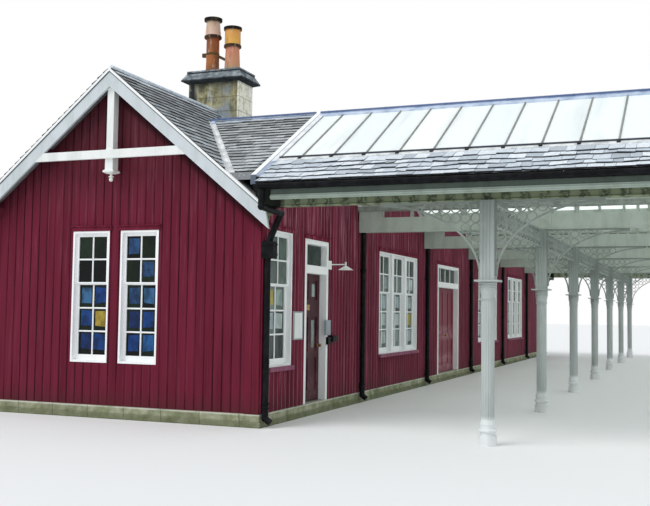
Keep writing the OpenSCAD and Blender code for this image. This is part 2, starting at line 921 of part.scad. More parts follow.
// Pipe with socketed collars held off the wall by their straps, and a shoe at its foot.
module downpipe(y, top) {
    translate([pipe_x, y, pipe_foot_z]) cylinder(h = top - pipe_foot_z, d = pipe_d, $fn = 24);
    for (z = collar_foot_z) {
        translate([pipe_x, y, z]) cylinder(h = 36, d = pipe_d + 22, $fn = 24);
        box(0, pipe_x, y - 16, y + 16, z + 4, z + 32);
    }
    translate([pipe_x, y, pipe_foot_z]) sphere(d = pipe_d + 10, $fn = 24);
    translate([pipe_x, y, pipe_foot_z]) rotate([0, 125, 0])
        cylinder(h = 95, d = pipe_d, $fn = 24);
}

// Bent neck that brings the water of an end gutter under the fascia and the tie beam to
// the hopper head.
module swan_neck() {
    bend_z = tie_z - 39;
    path = [[outlet_x, outlet_y, spigot_z - seat], [outlet_x, outlet_y, bend_z],
        [bend_x, end_pipe_y, bend_z - 20], [pipe_x + 15, end_pipe_y, hopper_z + hopper_h]];
    for (k = [1 : 3]) translate(path[k]) sphere(d = pipe_d + 10, $fn = 24);
    for (k = [0 : 2]) pipe_between(path[k], path[k + 1]);
}

module pipe_between(from, to) {
    run = to - from;
    translate(from) rotate([0, acos(run[2] / norm(run)), atan2(run[1], run[0])])
        cylinder(h = norm(run), d = pipe_d, $fn = 24);
}

module hopper() {
    rim = 12;
    box(0, 178, end_pipe_y - 62, end_pipe_y + 62, hopper_z, hopper_z + hopper_h);
    for (z = [hopper_z + 40, hopper_z + hopper_h - 50])
        box(0, 178 + rim, end_pipe_y - 62 - rim, end_pipe_y + 62 + rim, z, z + 22);
}

module downpipes() {
    color(iron_black) {
        for (i = [1 : bays - 1]) downpipe(col_y(i), tie_z);
        both_ends() {
            downpipe(end_pipe_y, hopper_z);
            hopper();
            swan_neck();
        }
    }
}

// Windows, drawn in the plane of the near gable

function light_w(w, lights) = (w - 2 * lining - (lights - 1) * mullion) / lights;
function light_x(w, lights) =
    [for (k = [0 : lights - 1]) lining + k * (light_w(w, lights) + mullion)];

// Each sash: its depth behind the wall face, its foot and head, and those of its glass.
// The lower sash slides behind the upper one.
function sashes() = [[70, sill_z + lining, meet_z, sill_z + 110, meet_z - 20],
    [35, meet_z, head_z - lining, meet_z + 20, head_z - 80]];

module sash_window(w, lights) {
    difference() {
        box(0, w, -12, wall_t, sill_z, head_z);
        for (x = light_x(w, lights), s = sashes()) {
            box(x, x + light_w(w, lights), -13, s[0], s[1], s[2]);
            box(x + stile, x + light_w(w, lights) - stile, s[0] - 1, wall_t + 1, s[3], s[4]);
        }
    }
}

module panes_of(w, lights) {
    for (x = light_x(w, lights), s = sashes())
        box(x + stile, x + light_w(w, lights) - stile, s[0] + 20, s[0] + 26, s[3], s[4]);
}

module gable_windows() {
    color(white) both_ends() for (x = gable_window_x())
        translate([x, 0, 0]) sash_window(sash_w, 1);
}

module platform_windows() {
    color(white) {
        for (y = single_y) on_platform_wall(y) sash_window(single_sash_w, 1);
        for (y = triple_y) on_platform_wall(y) sash_window(triple_w, 3);
    }
}

module window_glass() {
    color("#2c3436") {
        both_ends() for (x = gable_window_x()) translate([x, 0, 0]) panes_of(sash_w, 1);
        for (y = single_y) on_platform_wall(y) panes_of(single_sash_w, 1);
        for (y = triple_y) on_platform_wall(y) panes_of(triple_w, 3);
        on_platform_wall(door_1_y) fanlight(single_w);
        on_platform_wall(door_2_y) fanlight(double_w);
    }
}

module sill(w) {
    box(-30, w + 30, -60, 0, sill_z - 60, sill_z);
}

module sills() {
    color(crimson) {
        for (y = single_y) on_platform_wall(y) sill(single_sash_w);
        for (y = triple_y) on_platform_wall(y) sill(triple_w);
    }
}

// Doors, drawn in the plane of the near gable

module door_frame(w) {
    difference() {
        box(0, w, -12, wall_t, plinth_h, door_z);
        box(jamb, w - jamb, -13, wall_t + 1, plinth_h - 1, transom_z);
        box(jamb, w - jamb, -13, wall_t + 1, transom_z + 125, door_z - 75);
    }
}

module door_frame_1() {
    color(white) on_platform_wall(door_1_y) door_frame(single_w);
}

module door_frame_2() {
    color(white) on_platform_wall(door_2_y) door_frame(double_w);
}

module fanlight(w) {
    box(jamb, w - jamb, 90, 96, transom_z + 125, door_z - 75);
}

module leaf(y, w) {
    box(leaf_x, leaf_x + leaf_t, y, y + w, leaf_z, transom_z - leaf_gap);
}

// Half of each butt hinge: side is +1 for the flap screwed to what lies at larger Y.
// Its barrel stands on the hinge line, half a leaf gap outside the edge of the leaf.
module knuckles(y, side, z0, h) {
    for (z = hinge_z) {
        translate([leaf_x - hinge_r, y, z + z0]) cylinder(h = h, d = 2 * hinge_r, $fn = 24);
        y1 = y + side * 38;
        box(leaf_x - 4, leaf_x, min(y, y1), max(y, y1), z + z0, z + z0 + h);
    }
}

module door_hinges() {
    color(iron_black) {
        knuckles(hinge_y[0], -1, 0, 50);
        knuckles(hinge_y[1], -1, 0, 50);
        knuckles(hinge_y[2], 1, 0, 50);
    }
}

// Sunk panels of a leaf, two abreast in each row of feet and heads, less a margin.
module panels(y, w, rows, x0, x1, margin) {
    panel_w = (w - 3 * leaf_rail) / 2;
    for (z = rows, k = [0, 1])
        translate([0, y + leaf_rail + k * (panel_w + leaf_rail), 0])
            box(x0, x1, margin, panel_w - margin, z[0] + margin, z[1] - margin);
}

module sunk_panels(y, w, rows) {
    panels(y, w, rows, leaf_x + leaf_t - 12, leaf_x + leaf_t + 1, 0);
}

// The two upper rows of the single leaf are glazed.
module light_holes(x0, x1) {
    panels(leaf_1_y, single_leaf_w, [single_rows[1], single_rows[2]], x0, x1, 50);
}

module door_1_leaf() {
    color(crimson) {
        difference() {
            leaf(leaf_1_y, single_leaf_w);
            light_holes(leaf_x - 1, leaf_x + leaf_t + 1);
            sunk_panels(leaf_1_y, single_leaf_w, single_rows);
        }
        knuckles(hinge_y[0], 1, 50.3, 50);
    }
}

module door_1_lights() {
    color("#2c3436") light_holes(leaf_x + 18, leaf_x + 26);
}

module handle(y) {
    translate([leaf_x + leaf_t, y, 1050]) rotate([0, 90, 0]) {
        cylinder(h = 8, d = 60, $fn = 24);
        cylinder(h = 45, d = 20, $fn = 24);
        translate([0, 0, 35]) cylinder(h = 25, d = 52, $fn = 24);
    }
}

module door_1_handle() {
    color("#b08d4a") handle(leaf_1_y + single_leaf_w - 70);
}

module door_2_leaf_near() {
    color(crimson) {
        difference() {
            leaf(leaf_2_y, double_leaf_w);
            sunk_panels(leaf_2_y, double_leaf_w, double_rows);
        }
        knuckles(hinge_y[1], 1, 50.3, 50);
    }
}

module door_2_leaf_far() {
    color(crimson) {
        difference() {
            leaf(leaf_3_y, double_leaf_w);
            sunk_panels(leaf_3_y, double_leaf_w, double_rows);
        }
        knuckles(hinge_y[2], -1, 50.3, 50);
    }
}

module door_2_handle() {
    color("#b08d4a") handle(leaf_3_y + 70);
}

// Fittings on the platform wall

module wall_lamp() {
    shade_z = -80;
    color(white) translate([0, lamp_y, lamp_z]) {
        box(0, 12, -70, 70, -70, 70);
        box(0, lamp_reach, -9, 9, 0, 18);
        translate([lamp_reach, 0, shade_z]) cylinder(h = 130, d = 30, $fn = 16);
        translate([lamp_reach, 0, shade_z]) cylinder(h = 60, d1 = 250, d2 = 60, $fn = 24);
    }
}

module notice_plate() {
    color("#e8e8e4")
        box(0, 20, notice_y, notice_y + notice_w, notice_z, notice_z + notice_h);
}

// Moves the working origin to the middle of the outline on the ground.
x_low = -range_w - rear_eaves - 2 * rear_gutter_r;
x_high = canopy_x + bar_w / 2 + 40;
module placed() {
    translate([-(x_low + x_high) / 2, -length / 2, 0]) children();
}

placed() plinth();
placed() floor();
placed() wall_gable_near();
placed() wall_gable_far();
placed() wall_rear();
placed() wall_platform_1();
placed() wall_platform_2();
placed() wall_platform_3();
placed() walls_over_doors();
placed() wall_gablets();
placed() roof_platform_side();
placed() roof_rear_side();
placed() main_ridge();
placed() cross_roofs_near();
placed() cross_roofs_far();
placed() skews_near();
placed() skews_far();
placed() valley_gutters();
placed() chimney_stack();
placed() chimney_cap();
placed() chimney_pots();
placed() bargeboards();
placed() collars();
placed() king_posts();
placed() purlins();
placed() canopy_frames_near();
placed() canopy_frames_far();
placed() canopy_glass_near();
placed() canopy_glass_far();
placed() canopy_slates();
placed() canopy_ridges();
placed() eaves_gutters();
placed() end_fascias();
placed() rail_barges_near();
placed() rail_barges_far();
placed() tie_beams();
placed() valley_posts();
placed() columns();
placed() brackets_wall_side();
placed() brackets_rail_side();
placed() friezes();
placed() downpipes();
placed() gable_windows();
placed() platform_windows();
placed() window_glass();
placed() sills();
placed() door_frame_1();
placed() door_frame_2();
placed() door_hinges();
placed() door_1_leaf();
placed() door_1_lights();
placed() door_1_handle();
placed() door_2_leaf_near();
placed() door_2_leaf_far();
placed() door_2_handle();
placed() wall_lamp();
placed() notice_plate();
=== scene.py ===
"""Looks of a timber railway station building over its CAD frame.

Lengths are metres. Pieces are drawn in the working frame of the part's source, where X = 0
is the outer face of the platform wall and Y = 0 that of the near gable. SHIFT moves them
into the frame of the part.
"""
import math
import random

import bmesh
import bpy
from mathutils import Matrix, Vector


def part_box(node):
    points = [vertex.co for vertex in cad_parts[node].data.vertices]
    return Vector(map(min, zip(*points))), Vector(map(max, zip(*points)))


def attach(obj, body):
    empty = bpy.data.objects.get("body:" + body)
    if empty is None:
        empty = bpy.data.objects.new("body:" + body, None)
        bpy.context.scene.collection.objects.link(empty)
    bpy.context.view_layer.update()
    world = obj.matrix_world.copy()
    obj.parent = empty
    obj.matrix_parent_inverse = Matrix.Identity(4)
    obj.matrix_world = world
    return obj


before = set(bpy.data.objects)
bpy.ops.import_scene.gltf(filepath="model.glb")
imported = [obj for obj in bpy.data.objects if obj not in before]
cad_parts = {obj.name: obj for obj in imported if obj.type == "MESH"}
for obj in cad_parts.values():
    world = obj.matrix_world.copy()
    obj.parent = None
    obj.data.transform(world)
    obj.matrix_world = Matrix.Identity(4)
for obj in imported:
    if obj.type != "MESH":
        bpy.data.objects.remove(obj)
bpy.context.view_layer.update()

# Sizes of the part, as in its source. MAIN_V and CROSS_V are upright thicknesses of the
# roofs, COL_0 and BAR_0 the first places of rows
SHIFT = Vector((-0.532, -12.57, 0.0))
BAY = 4.27
BAYS = 6
RANGE_W = 4.74
HALF = RANGE_W / 2
LENGTH = 25.14
COL_0 = -0.24
PLINTH = 0.185
BOARD = 0.142
RIDGE_Z = 5.09
MAIN_RISE = 0.823
MAIN_V = 0.1425
VERGE = 0.225
REAR_EAVES = 0.23
CROSS_Z = 4.674
CROSS_RISE = 0.566
CROSS_V = 0.1034
EAVE_Y = -0.578
VALLEY_HALF = 0.07
SLATED_FOOT = 0.415
SKEW_W = 0.08
SKEW_LEAD = 0.17
SILL_LEAD = 0.1
NOTCH_X = 0.165
NOTCH_Y = EAVE_Y + 0.186
GUTTER_R = 0.066
GUTTER_DROP = 0.045
BAR_STEP = 0.466
BAR_0 = 0.0235
PANES = 13
CANOPY_X = BAR_0 + PANES * BAR_STEP + 0.0225
SILL_Z = 0.8
HEAD_Z = 2.73
MEET_Z = SILL_Z + 0.6 * (HEAD_Z - SILL_Z)
DOOR_Z = 2.7
TRANSOM_Z = 2.175
JAMB = 0.075
SASH_W = 0.64
SINGLE_W = 0.78
TRIPLE_W = 2.527
LINING = 0.03
MULLION = 0.13
STILE = 0.045
GABLE_WINDOWS = (-HALF - 0.096 - SASH_W, -HALF + 0.096)
SINGLE_WINDOWS = (0.248, LENGTH - 0.248 - SINGLE_W)
TRIPLE_WINDOWS = (5.122, 13.662, 17.932)
DOORS = ((1.515, 0.966), (9.376, 2.014))
CHIMNEY_Y = (2.97, 3.53)
CHIMNEY_X = (-HALF - 0.549, -HALF + 0.445)
POTS_Z = 5.856
TALL_POT = (-2.604, 3.25)


def main_top(x):
    return RIDGE_Z - MAIN_RISE * abs(x + HALF)


def col_y(i):
    return COL_0 + BAY * i


def ridge_y(i):
    return col_y(i) + BAY / 2


def cross_top(y, i):
    return CROSS_Z - CROSS_RISE * abs(y - ridge_y(i))


# Materials


def rgb(colour):
    """Screen colour, such as "#ff8000", as the linear colour that a shader takes."""
    shares = [int(colour[i:i + 2], 16) / 255 for i in (1, 3, 5)]
    linear = [c / 12.92 if c <= 0.04045 else ((c + 0.055) / 1.055) ** 2.4 for c in shares]
    return (*linear, 1.0)


class Tree:
    """Shader nodes of a material or of the world."""

    def __init__(self, owner):
        owner.use_nodes = True
        self.nodes, self.links = owner.node_tree.nodes, owner.node_tree.links

    def node(self, kind, inputs=None, **settings):
        made = self.nodes.new("ShaderNode" + kind)
        for name, value in settings.items():
            setattr(made, name, value)
        self.feed(made, inputs or {})
        return made

    def feed(self, node, inputs):
        """Link or set the inputs of a node, given by name or number."""
        for name, value in inputs.items():
            if isinstance(value, bpy.types.NodeSocket):
                self.links.new(value, node.inputs[name])
            else:
                value = rgb(value) if isinstance(value, str) else value
                node.inputs[name].default_value = value

    def math(self, operation, a, b=0.0):
        return self.node("Math", {0: a, 1: b}, operation=operation).outputs[0]


class Finish(Tree):
    """A Principled material whose colour and bump come from procedural nodes."""

    def __init__(self, name, slot, roughness, shine=0.5, **inputs):
        self.material = bpy.data.materials.new(name)
        super().__init__(self.material)
        self.slot = slot
        self.shader = self.nodes["Principled BSDF"]
        self.place = self.node("TexCoord").outputs["Object"]
        self.feed(self.shader, {"Roughness": roughness, "Specular IOR Level": shine, **inputs})

    def axis(self, name):
        """Coordinate in the working frame."""
        place = self.node("SeparateXYZ", {0: self.place}).outputs[name]
        return self.math("SUBTRACT", place, SHIFT["XYZ".index(name)])

    def noise(self, scale, detail=4.0, stretch=(1, 1, 1), seed=0.0):
        """Noise from 0 to 1, drawn out along the axes where stretch is small."""
        mapped = self.node("Mapping", {"Vector": self.place, "Scale": stretch,
                                       "Location": (seed, 2 * seed, 3 * seed)})
        return self.node("TexNoise", {"Vector": mapped.outputs[0], "Scale": scale,
                                      "Detail": detail, "Roughness": 0.6}).outputs["Fac"]

    def span(self, value, low, high, to_low=0.0, to_high=1.0):
        """Value taken from the range low..high to to_low..to_high, and held there.

        The name of an axis stands for the coordinate along it.
        """
        value = self.axis(value) if isinstance(value, str) else value
        return self.node("MapRange", {"Value": value, "From Min": low, "From Max": high,
                                      "To Min": to_low, "To Max": to_high}).outputs[0]

    def band(self, value, low, high, soft=0.004):
        """1 where value is between low and high, 0 where it is more than soft outside."""
        return self.math("MULTIPLY", self.span(value, low - soft, low),
                         self.span(value, high, high + soft, 1.0, 0.0))

    def beyond_gables(self, low, high):
        """0 up to low in front of either gable, 1 from high on."""
        from_middle = self.math("ABSOLUTE", self.math("SUBTRACT", self.axis("Y"), LENGTH / 2))
        return self.span(from_middle, LENGTH / 2 + low, LENGTH / 2 + high)

    def below_roof(self):
        """Height of the main roof above a point."""
        run = self.math("ABSOLUTE", self.math("ADD", self.axis("X"), HALF))
        top = self.math("ADD", self.math("MULTIPLY", run, -MAIN_RISE), RIDGE_Z)
        return self.math("SUBTRACT", top, self.axis("Z"))

    def ramp(self, value, stops, between="LINEAR"):
        ramp = self.node("ValToRGB", {"Fac": value})
        ramp.color_ramp.interpolation = between
        elements = ramp.color_ramp.elements
        while len(elements) < len(stops):
            elements.new(0.5)
        for element, (at, colour) in zip(elements, stops):
            element.position = at
            element.color = rgb(colour)
        return ramp.outputs["Color"]

    def mix(self, factor, a, b):
        mix = self.node("Mix", data_type="RGBA")
        self.feed(mix, {0: factor, 6: a, 7: b})
        return mix.outputs[2]

    def soiled(self, colour, dirt, amount):
        """Colour under soft runs and spots of dirt."""
        runs = self.span(self.noise(5.0, 6.0, (1, 1, 0.25)), 0.45, 0.75, 0.0, amount)
        spots = self.span(self.noise(38.0, 3.0), 0.62, 0.75, 0.0, amount * 0.6)
        return self.mix(self.math("ADD", runs, spots), colour, dirt)

    def tone(self):
        """Random value from 0 to 1 of each slate, board or pane."""
        return self.node("Attribute", attribute_name="tone").outputs["Fac"]

    def joint(self):
        """1 in the gap between two boards or under the edge of a slate, 0 on its face."""
        return self.node("Attribute", attribute_name="joint").outputs["Fac"]

    def blocks(self, width, height):
        """1 in the joints of a wall of stone blocks, 0 on them."""
        along = self.math("ADD", self.axis("X"), self.axis("Y"))
        face = self.node("CombineXYZ", {0: along, 1: self.axis("Z")}).outputs[0]
        return self.node("TexBrick", {"Vector": face, "Scale": 1.0, "Mortar Size": 0.008,
                                      "Mortar Smooth": 0.2, "Brick Width": width,
                                      "Row Height": height}).outputs["Fac"]

    def colour(self, value):
        """Start again from a colour."""
        self.top = value
        self.feed(self.shader, {"Base Color": value})

    def over(self, colour, mask, *others):
        """Lay a colour over what is there, by the product of masks from 0 to 1."""
        for other in others:
            mask = self.math("MULTIPLY", mask, other)
        self.colour(self.mix(mask, self.top, colour))

    def bump(self, height, distance, strength):
        """Raise the surface by a height from 0 to 1; the last step of a finish."""
        bump = self.node("Bump", {"Height": height, "Distance": distance,
                                  "Strength": strength})
        self.feed(self.shader, {"Normal": bump.outputs[0]})
        return self


def board_paint(name, deep, bright, high_up, weather, arris_wear_and_highlight, variety, gap, verge_shadow_amount=0.0):
    """Red paint on boards.

    high_up is its colour near the ridge, weather how far it has worn to pale streaks,
    arris_wear_and_highlight how far the edges of each board are worn pale and lit by a painted
    highlight, variety how much the boards differ in depth of colour, gap the colour of their
    joints, and verge_shadow_amount how dark the painted shadow behind the verge is.
    """
    paint = Finish(name, "crimson", 0.8, 0.1)
    grain = paint.noise(9.0, 6.0, (1, 1, 0.06))
    paint.colour(paint.ramp(grain, [(0.3, deep), (0.7, bright)]))
    darker = paint.span(paint.tone(), 0.2, 1.0, 0.0, variety)
    paint.over("#420c1e", darker)
    # Colour near the ridge; on the gable it is greyer as painted shade and reflection.
    high = paint.span("Z", 2.9, 4.4, 0.0, 0.75)
    paint.over(high_up, high)
    worn = paint.span(paint.noise(22.0, 5.0, (1, 1, 0.05), 3.0), 0.54, 0.68, 0.0, weather)
    under_eaves = paint.span("Z", 1.9, 2.9, 0.4, 1.0)
    paint.over("#ac7888", worn, under_eaves)
    splashed = paint.span("Z", 0.19, 0.45, 0.5, 0.0)
    paint.over("#462824", splashed)
    # Pale worn arrises, partly a painted highlight along the edges of the boards.
    edge = paint.band(paint.joint(), 0.2, 0.45, 0.15)
    paint.over("#b0687c", edge, arris_wear_and_highlight)
    open_joint = paint.span(paint.joint(), 0.35, 0.65)
    clean = paint.span(paint.noise(1.6, 4.0, (1, 1, 0.35), 11.0), 0.4, 0.58, 0.25, 1.0)
    paint.over(gap, open_joint, clean)
    # Painted shadow under the verge, stronger to the right of the apex.
    verge_shadow = paint.span(paint.below_roof(), 0.4, 0.5, verge_shadow_amount, 0.0)
    more_shadow_to_right = paint.span("X", -HALF - 0.1, -HALF + 0.1, 0.3, 1.0)
    paint.over("#220e14", verge_shadow, more_shadow_to_right)
    return paint.bump(paint.noise(60.0, 4.0, (1, 1, 0.04)), 0.002, 0.5)


def door_paint(name, deep, bright, worn_amount):
    """Gloss red on the doors, rubbed pale at the lock rail and the kicking height."""
    paint = Finish(name, "crimson", 0.5, 0.25)
    paint.colour(paint.ramp(paint.noise(9.0, 6.0, (1, 1, 0.06)), [(0.3, deep), (0.7, bright)]))
    rubbed = paint.math("ADD", paint.band("Z", 1.02, 1.2, 0.12),
                        paint.band("Z", 0.3, 0.55, 0.12))
    patches = paint.span(paint.noise(12.0, 5.0, seed=3.0), 0.42, 0.56, 0.0, worn_amount)
    paint.over("#a4707c", rubbed, patches)
    return paint.bump(paint.noise(60.0, 4.0, (1, 1, 0.04)), 0.001, 0.4)


def oil_paint(name, slot, colour, dirt, amount, shine=0.3):
    """Oil paint under soft runs and spots of dirt."""
    paint = Finish(name, slot, 0.55, shine)
    paint.colour(paint.soiled(colour, dirt, amount))
    return paint.bump(paint.noise(90.0, 3.0, (1, 1, 0.15)), 0.001, 0.35)


def verge_paint():
    """Bargeboards: a white fillet over a painted shadow in the quirk, a face painted blue-grey as
    shade, and a green back.
    """
    paint = Finish("verge_white", "white_timber", 0.55, 0.3)
    # The face is laid on blue-grey as painted shade, below the white fillet.
    paint.colour(paint.soiled("#ced5d9", "#aab6b4", 0.6))
    drop = paint.below_roof()
    paint.over("#f6f7f6", paint.band(drop, -0.01, 0.042))
    # Painted shadow in the quirk under the fillet.
    quirk_shadow = paint.band(drop, 0.047, 0.062)
    paint.over("#60686e", quirk_shadow, paint.span("Z", 2.8, 3.0))
    front = paint.beyond_gables(VERGE - 0.004, VERGE)
    paint.over("#707a5c", paint.math("SUBTRACT", 1.0, front))
    return paint.bump(paint.noise(90.0, 3.0, (1, 1, 0.15)), 0.001, 0.35)


def canopy_paint():
    """Grey-green paint of the canopy timber: olive in the end eaves with rows of painted rafter
    shadows, and a painted black shadow by the wall.
    """
    paint = Finish("canopy_timber", "white_timber", 0.7, 0.1)
    paint.colour(paint.soiled("#bcc6bc", "#929d8f", 0.6))
    end = paint.beyond_gables(0.03, 0.1)
    # Rows of painted shadow between the rafters in the end eaves.
    along = paint.math("FRACT", paint.math("DIVIDE", paint.axis("X"), BAR_STEP / 2))
    rafter_shadow_rows = paint.band(along, 0.35, 0.75, 0.15)
    spots = paint.math("MULTIPLY", rafter_shadow_rows, paint.span(paint.noise(24.0, 4.0), 0.4, 0.55))
    olive = paint.mix(spots, "#848e70", "#424a32")
    paint.over(olive, end, 0.92)
    # Painted black shadow in the end eaves by the wall.
    wall_shadow = paint.span("X", 0.36, 0.44, 1.0, 0.0)
    paint.over("#1a1e18", end, wall_shadow)
    return paint.bump(paint.noise(80.0, 3.0, (0.1, 0.1, 1)), 0.001, 0.4)


def fascia_paint(low_z):
    """Grey-green fascia, dark as the painted shade under the gutter, over its moulded edge,
    painted paler as a highlight.
    """
    paint = Finish("fascia", "white_timber", 0.7, 0.15)
    # Painted shade under the gutter on the upper face.
    paint.colour(paint.soiled("#606c64", "#464e44", 0.7))
    # Painted highlight on the moulded lower edge.
    edge = paint.span("Z", low_z + 0.058, low_z + 0.066, 1.0, 0.0)
    paint.over(paint.soiled("#9eaca2", "#707a6c", 0.6), edge)
    return paint.bump(paint.noise(80.0, 3.0, (0.1, 1, 1)), 0.001, 0.4)


def soffit_paint():
    """Underside of the slated canopy edges: olive boards with dark joints and mould, and a
    painted black shadow by the wall.
    """
    paint = Finish("soffit", "slate", 0.8, 0.1)
    across = paint.math("FRACT", paint.math("DIVIDE", paint.axis("X"), BOARD))
    joints = paint.math("GREATER_THAN", across, 0.93)
    mould = paint.span(paint.noise(14.0, 5.0), 0.45, 0.62)
    paint.colour(paint.mix(mould, "#686c4e", "#3a3e2c"))
    # Painted black shadow by the wall.
    wall_shadow = paint.span("X", 0.3, 0.45, 1.0, 0.0)
    paint.over("#161a14", wall_shadow)
    paint.over("#22241a", joints)
    return paint.bump(paint.noise(60.0, 3.0, (1, 0.1, 1)), 0.002, 0.5)


def column_paint():
    """Iron paint, white on the base and greyer towards the top as painted shade under the
    canopy.
    """
    paint = Finish("column_paint", "white_iron", 0.45, 0.25)
    low = paint.soiled("#bac1bf", "#969e98", 0.5)
    # Greyer upper colour, painted shade under the canopy.
    high = paint.soiled("#949d99", "#6c766e", 0.7)
    paint.colour(paint.mix(paint.span("Z", 1.7, 2.6), low, high))
    base = paint.soiled("#e8ecec", "#babeb6", 0.5)
    paint.over(base, paint.span("Z", 0.3, 0.36, 1.0, 0.0))
    return paint.bump(paint.noise(90.0, 3.0), 0.001, 0.4)


def slate_finish(name, dark, mid, pale, moss_amount, grain=11.0):
    """Weathered slates, each of its own tone, under blotches, specks, lichen and moss, with a
    painted shadow under the edge of each slate.
    """
    slate = Finish(name, "slate", 0.7, 0.2)
    tone = slate.ramp(slate.tone(), [(0.0, dark), (0.35, mid), (1.0, pale)])
    blotch = slate.noise(grain, 6.0)
    slate.colour(slate.mix(slate.span(blotch, 0.38, 0.7, 0.0, 0.55), tone, dark))
    specks = slate.span(slate.noise(34.0, 3.0, seed=4.0), 0.6, 0.68, 0.0, 0.7)
    slate.over(pale, specks)
    lichen = slate.span(slate.noise(6.0, 5.0, seed=5.0), 0.62, 0.72, 0.0, 0.2)
    slate.over("#969682", lichen)
    moss = slate.span(slate.noise(2.6, 6.0, seed=12.0), 0.62, 0.7, 0.0, moss_amount)
    slate.over("#545c3e", moss)
    near_ridge = slate.span("Z", 4.1, 4.6, 0.0, 0.3)
    slate.over("#545254", near_ridge)
    # Painted shadow under the lower edge of each slate.
    slate.over("#242629", slate.span(slate.joint(), 0.0, 0.25))
    return slate.bump(slate.noise(70.0, 5.0), 0.003, 0.6)


def skew_flashing_finish():
    """Near white beside the glass, grey-blue lead beside the slated foot, lined in black."""
    lead = Finish("skew_flashing", "lead", 0.5, 0.3)
    grain = lead.noise(9.0, 6.0)
    lead.colour(lead.ramp(grain, [(0.35, "#d6dce2"), (0.6, "#f4f6f8")]))
    split_z = cross_top(COL_0 + SLATED_FOOT, 0)
    low = lead.span("Z", split_z - 0.05, split_z - 0.03, 1.0, 0.0)
    lead.over(lead.ramp(grain, [(0.35, "#808ea6"), (0.6, "#acbad0")]), low)
    edges = lead.math("ADD", lead.band("X", SKEW_W, SKEW_W + 0.012, 0.003),
                      lead.band("X", SKEW_LEAD - 0.012, SKEW_LEAD, 0.003))
    lead.over("#48505c", edges, 0.75)
    return lead.bump(lead.noise(16.0, 4.0), 0.004, 0.5)


def skew_finish():
    """White skews, dark blue-grey at the ends."""
    paint = Finish("skew_white", "white_timber", 0.5, 0.3)
    paint.colour(paint.soiled("#f8fafa", "#ced4d8", 0.5))
    paint.over("#5c6676", paint.beyond_gables(-NOTCH_Y - 0.01, -NOTCH_Y - 0.003))
    return paint.bump(paint.noise(60.0, 3.0), 0.001, 0.3)


def lead_finish(name, pale, dark, shine=0.3):
    lead = Finish(name, "lead", 0.5, shine)
    streaks = lead.noise(6.0, 6.0, (1, 1, 0.4))
    spots = lead.span(lead.noise(24.0, 4.0, seed=2.0), 0.58, 0.68, 0.0, 0.7)
    lead.colour(lead.mix(spots, lead.ramp(streaks, [(0.3, dark), (0.6, pale)]), dark))
    return lead.bump(lead.noise(16.0, 4.0), 0.004, 0.5)


def ridge_finish(name, pale, dark, top_z, crown_amount):
    """Lead over a wooden roll, darker along its crown."""
    lead = Finish(name, "lead", 0.5, 0.3)
    lead.colour(lead.ramp(lead.noise(5.0, 6.0), [(0.35, dark), (0.6, pale)]))
    crown = lead.span("Z", top_z - 0.042, top_z - 0.028, 0.0, crown_amount)
    lead.over("#385080", crown)
    return lead.bump(lead.noise(16.0, 4.0), 0.004, 0.5)


def roof_glass_finish():
    """Frosted canopy panes, near white partly as a painted reflection of the sky, with grey runs
    down the slope; their undersides glow as painted daylight from below.
    """
    glass = Finish("frosted_glass", "roof_glass", 0.4, 0.3)
    # Painted daylight: the undersides of the panes glow.
    facing = glass.node("SeparateXYZ", {0: glass.node("TexCoord").outputs["Normal"]})
    painted_daylight_glow = glass.span(facing.outputs["Z"], -0.6, -0.3, 0.75, 0.0)
    glass.feed(glass.shader, {"Emission Color": "#f0f8f4", "Emission Strength": painted_daylight_glow})
    runs = glass.noise(4.0, 5.0, (1, 0.12, 0.12))
    pane = glass.math("FLOOR", glass.math("DIVIDE", glass.axis("X"), BAR_STEP))
    pick = glass.node("TexWhiteNoise", {"W": pane}, noise_dimensions="1D").outputs["Value"]
    # Near white, partly a painted reflection of the sky.
    glass.colour(glass.mix(pick, "#fcfdfd", "#f3f7fa"))
    glass.over("#ced6de", glass.span(runs, 0.52, 0.75, 0.0, 0.5))
    through = glass.node("BsdfTranslucent", {"Color": "#eef4ee"})
    blend = glass.node("MixShader", {0: 0.28, 1: glass.shader.outputs[0],
                                     2: through.outputs[0]})
    glass.feed(glass.nodes["Material Output"], {"Surface": blend.outputs[0]})
    return glass


def window_glass_finish(name, mirrored, inside):
    """Old panes; each mirrors its own one of some colours, with the dark room between."""
    glass = Finish(name, "window_glass", 0.12, 0.15)
    stops = [(k / len(mirrored), colour) for k, colour in enumerate(mirrored)]
    glass.colour(glass.ramp(glass.tone(), stops, "CONSTANT"))
    depth = glass.noise(7.0, 3.0, (1, 1, 0.6))
    glass.over("#0c1212", glass.span(depth, 0.42, 0.6, 0.0, inside))
    return glass.bump(glass.noise(5.0, 2.0), 0.003, 0.3)


def plinth_finish():
    """Pale greenish blocks, mossy in patches and at the foot, with a painted highlight along the
    lit top edge.
    """
    stone = Finish("plinth_stone", "stone", 0.9, 0.1)
    stone.colour(stone.ramp(stone.noise(5.0, 7.0),
                            [(0.3, "#74775c"), (0.5, "#9a9d82"), (0.7, "#bebea8")]))
    # Painted highlight along the lit top edge.
    paler_part = stone.span("Z", PLINTH - 0.03, PLINTH - 0.01, 0.0, 0.8)
    stone.over("#e2e2d6", paler_part)
    green = stone.span(stone.noise(3.5, 6.0, seed=8.0), 0.52, 0.66, 0.0, 0.6)
    stone.over("#707e54", green)
    stone.over("#586044", stone.span("Z", 0.06, 0.1, 0.6, 0.0))
    joints = stone.blocks(0.62, PLINTH)
    stone.over("#545442", joints, 0.55)
    return stone.bump(stone.math("SUBTRACT", stone.noise(40.0, 8.0), joints), 0.008, 0.9)


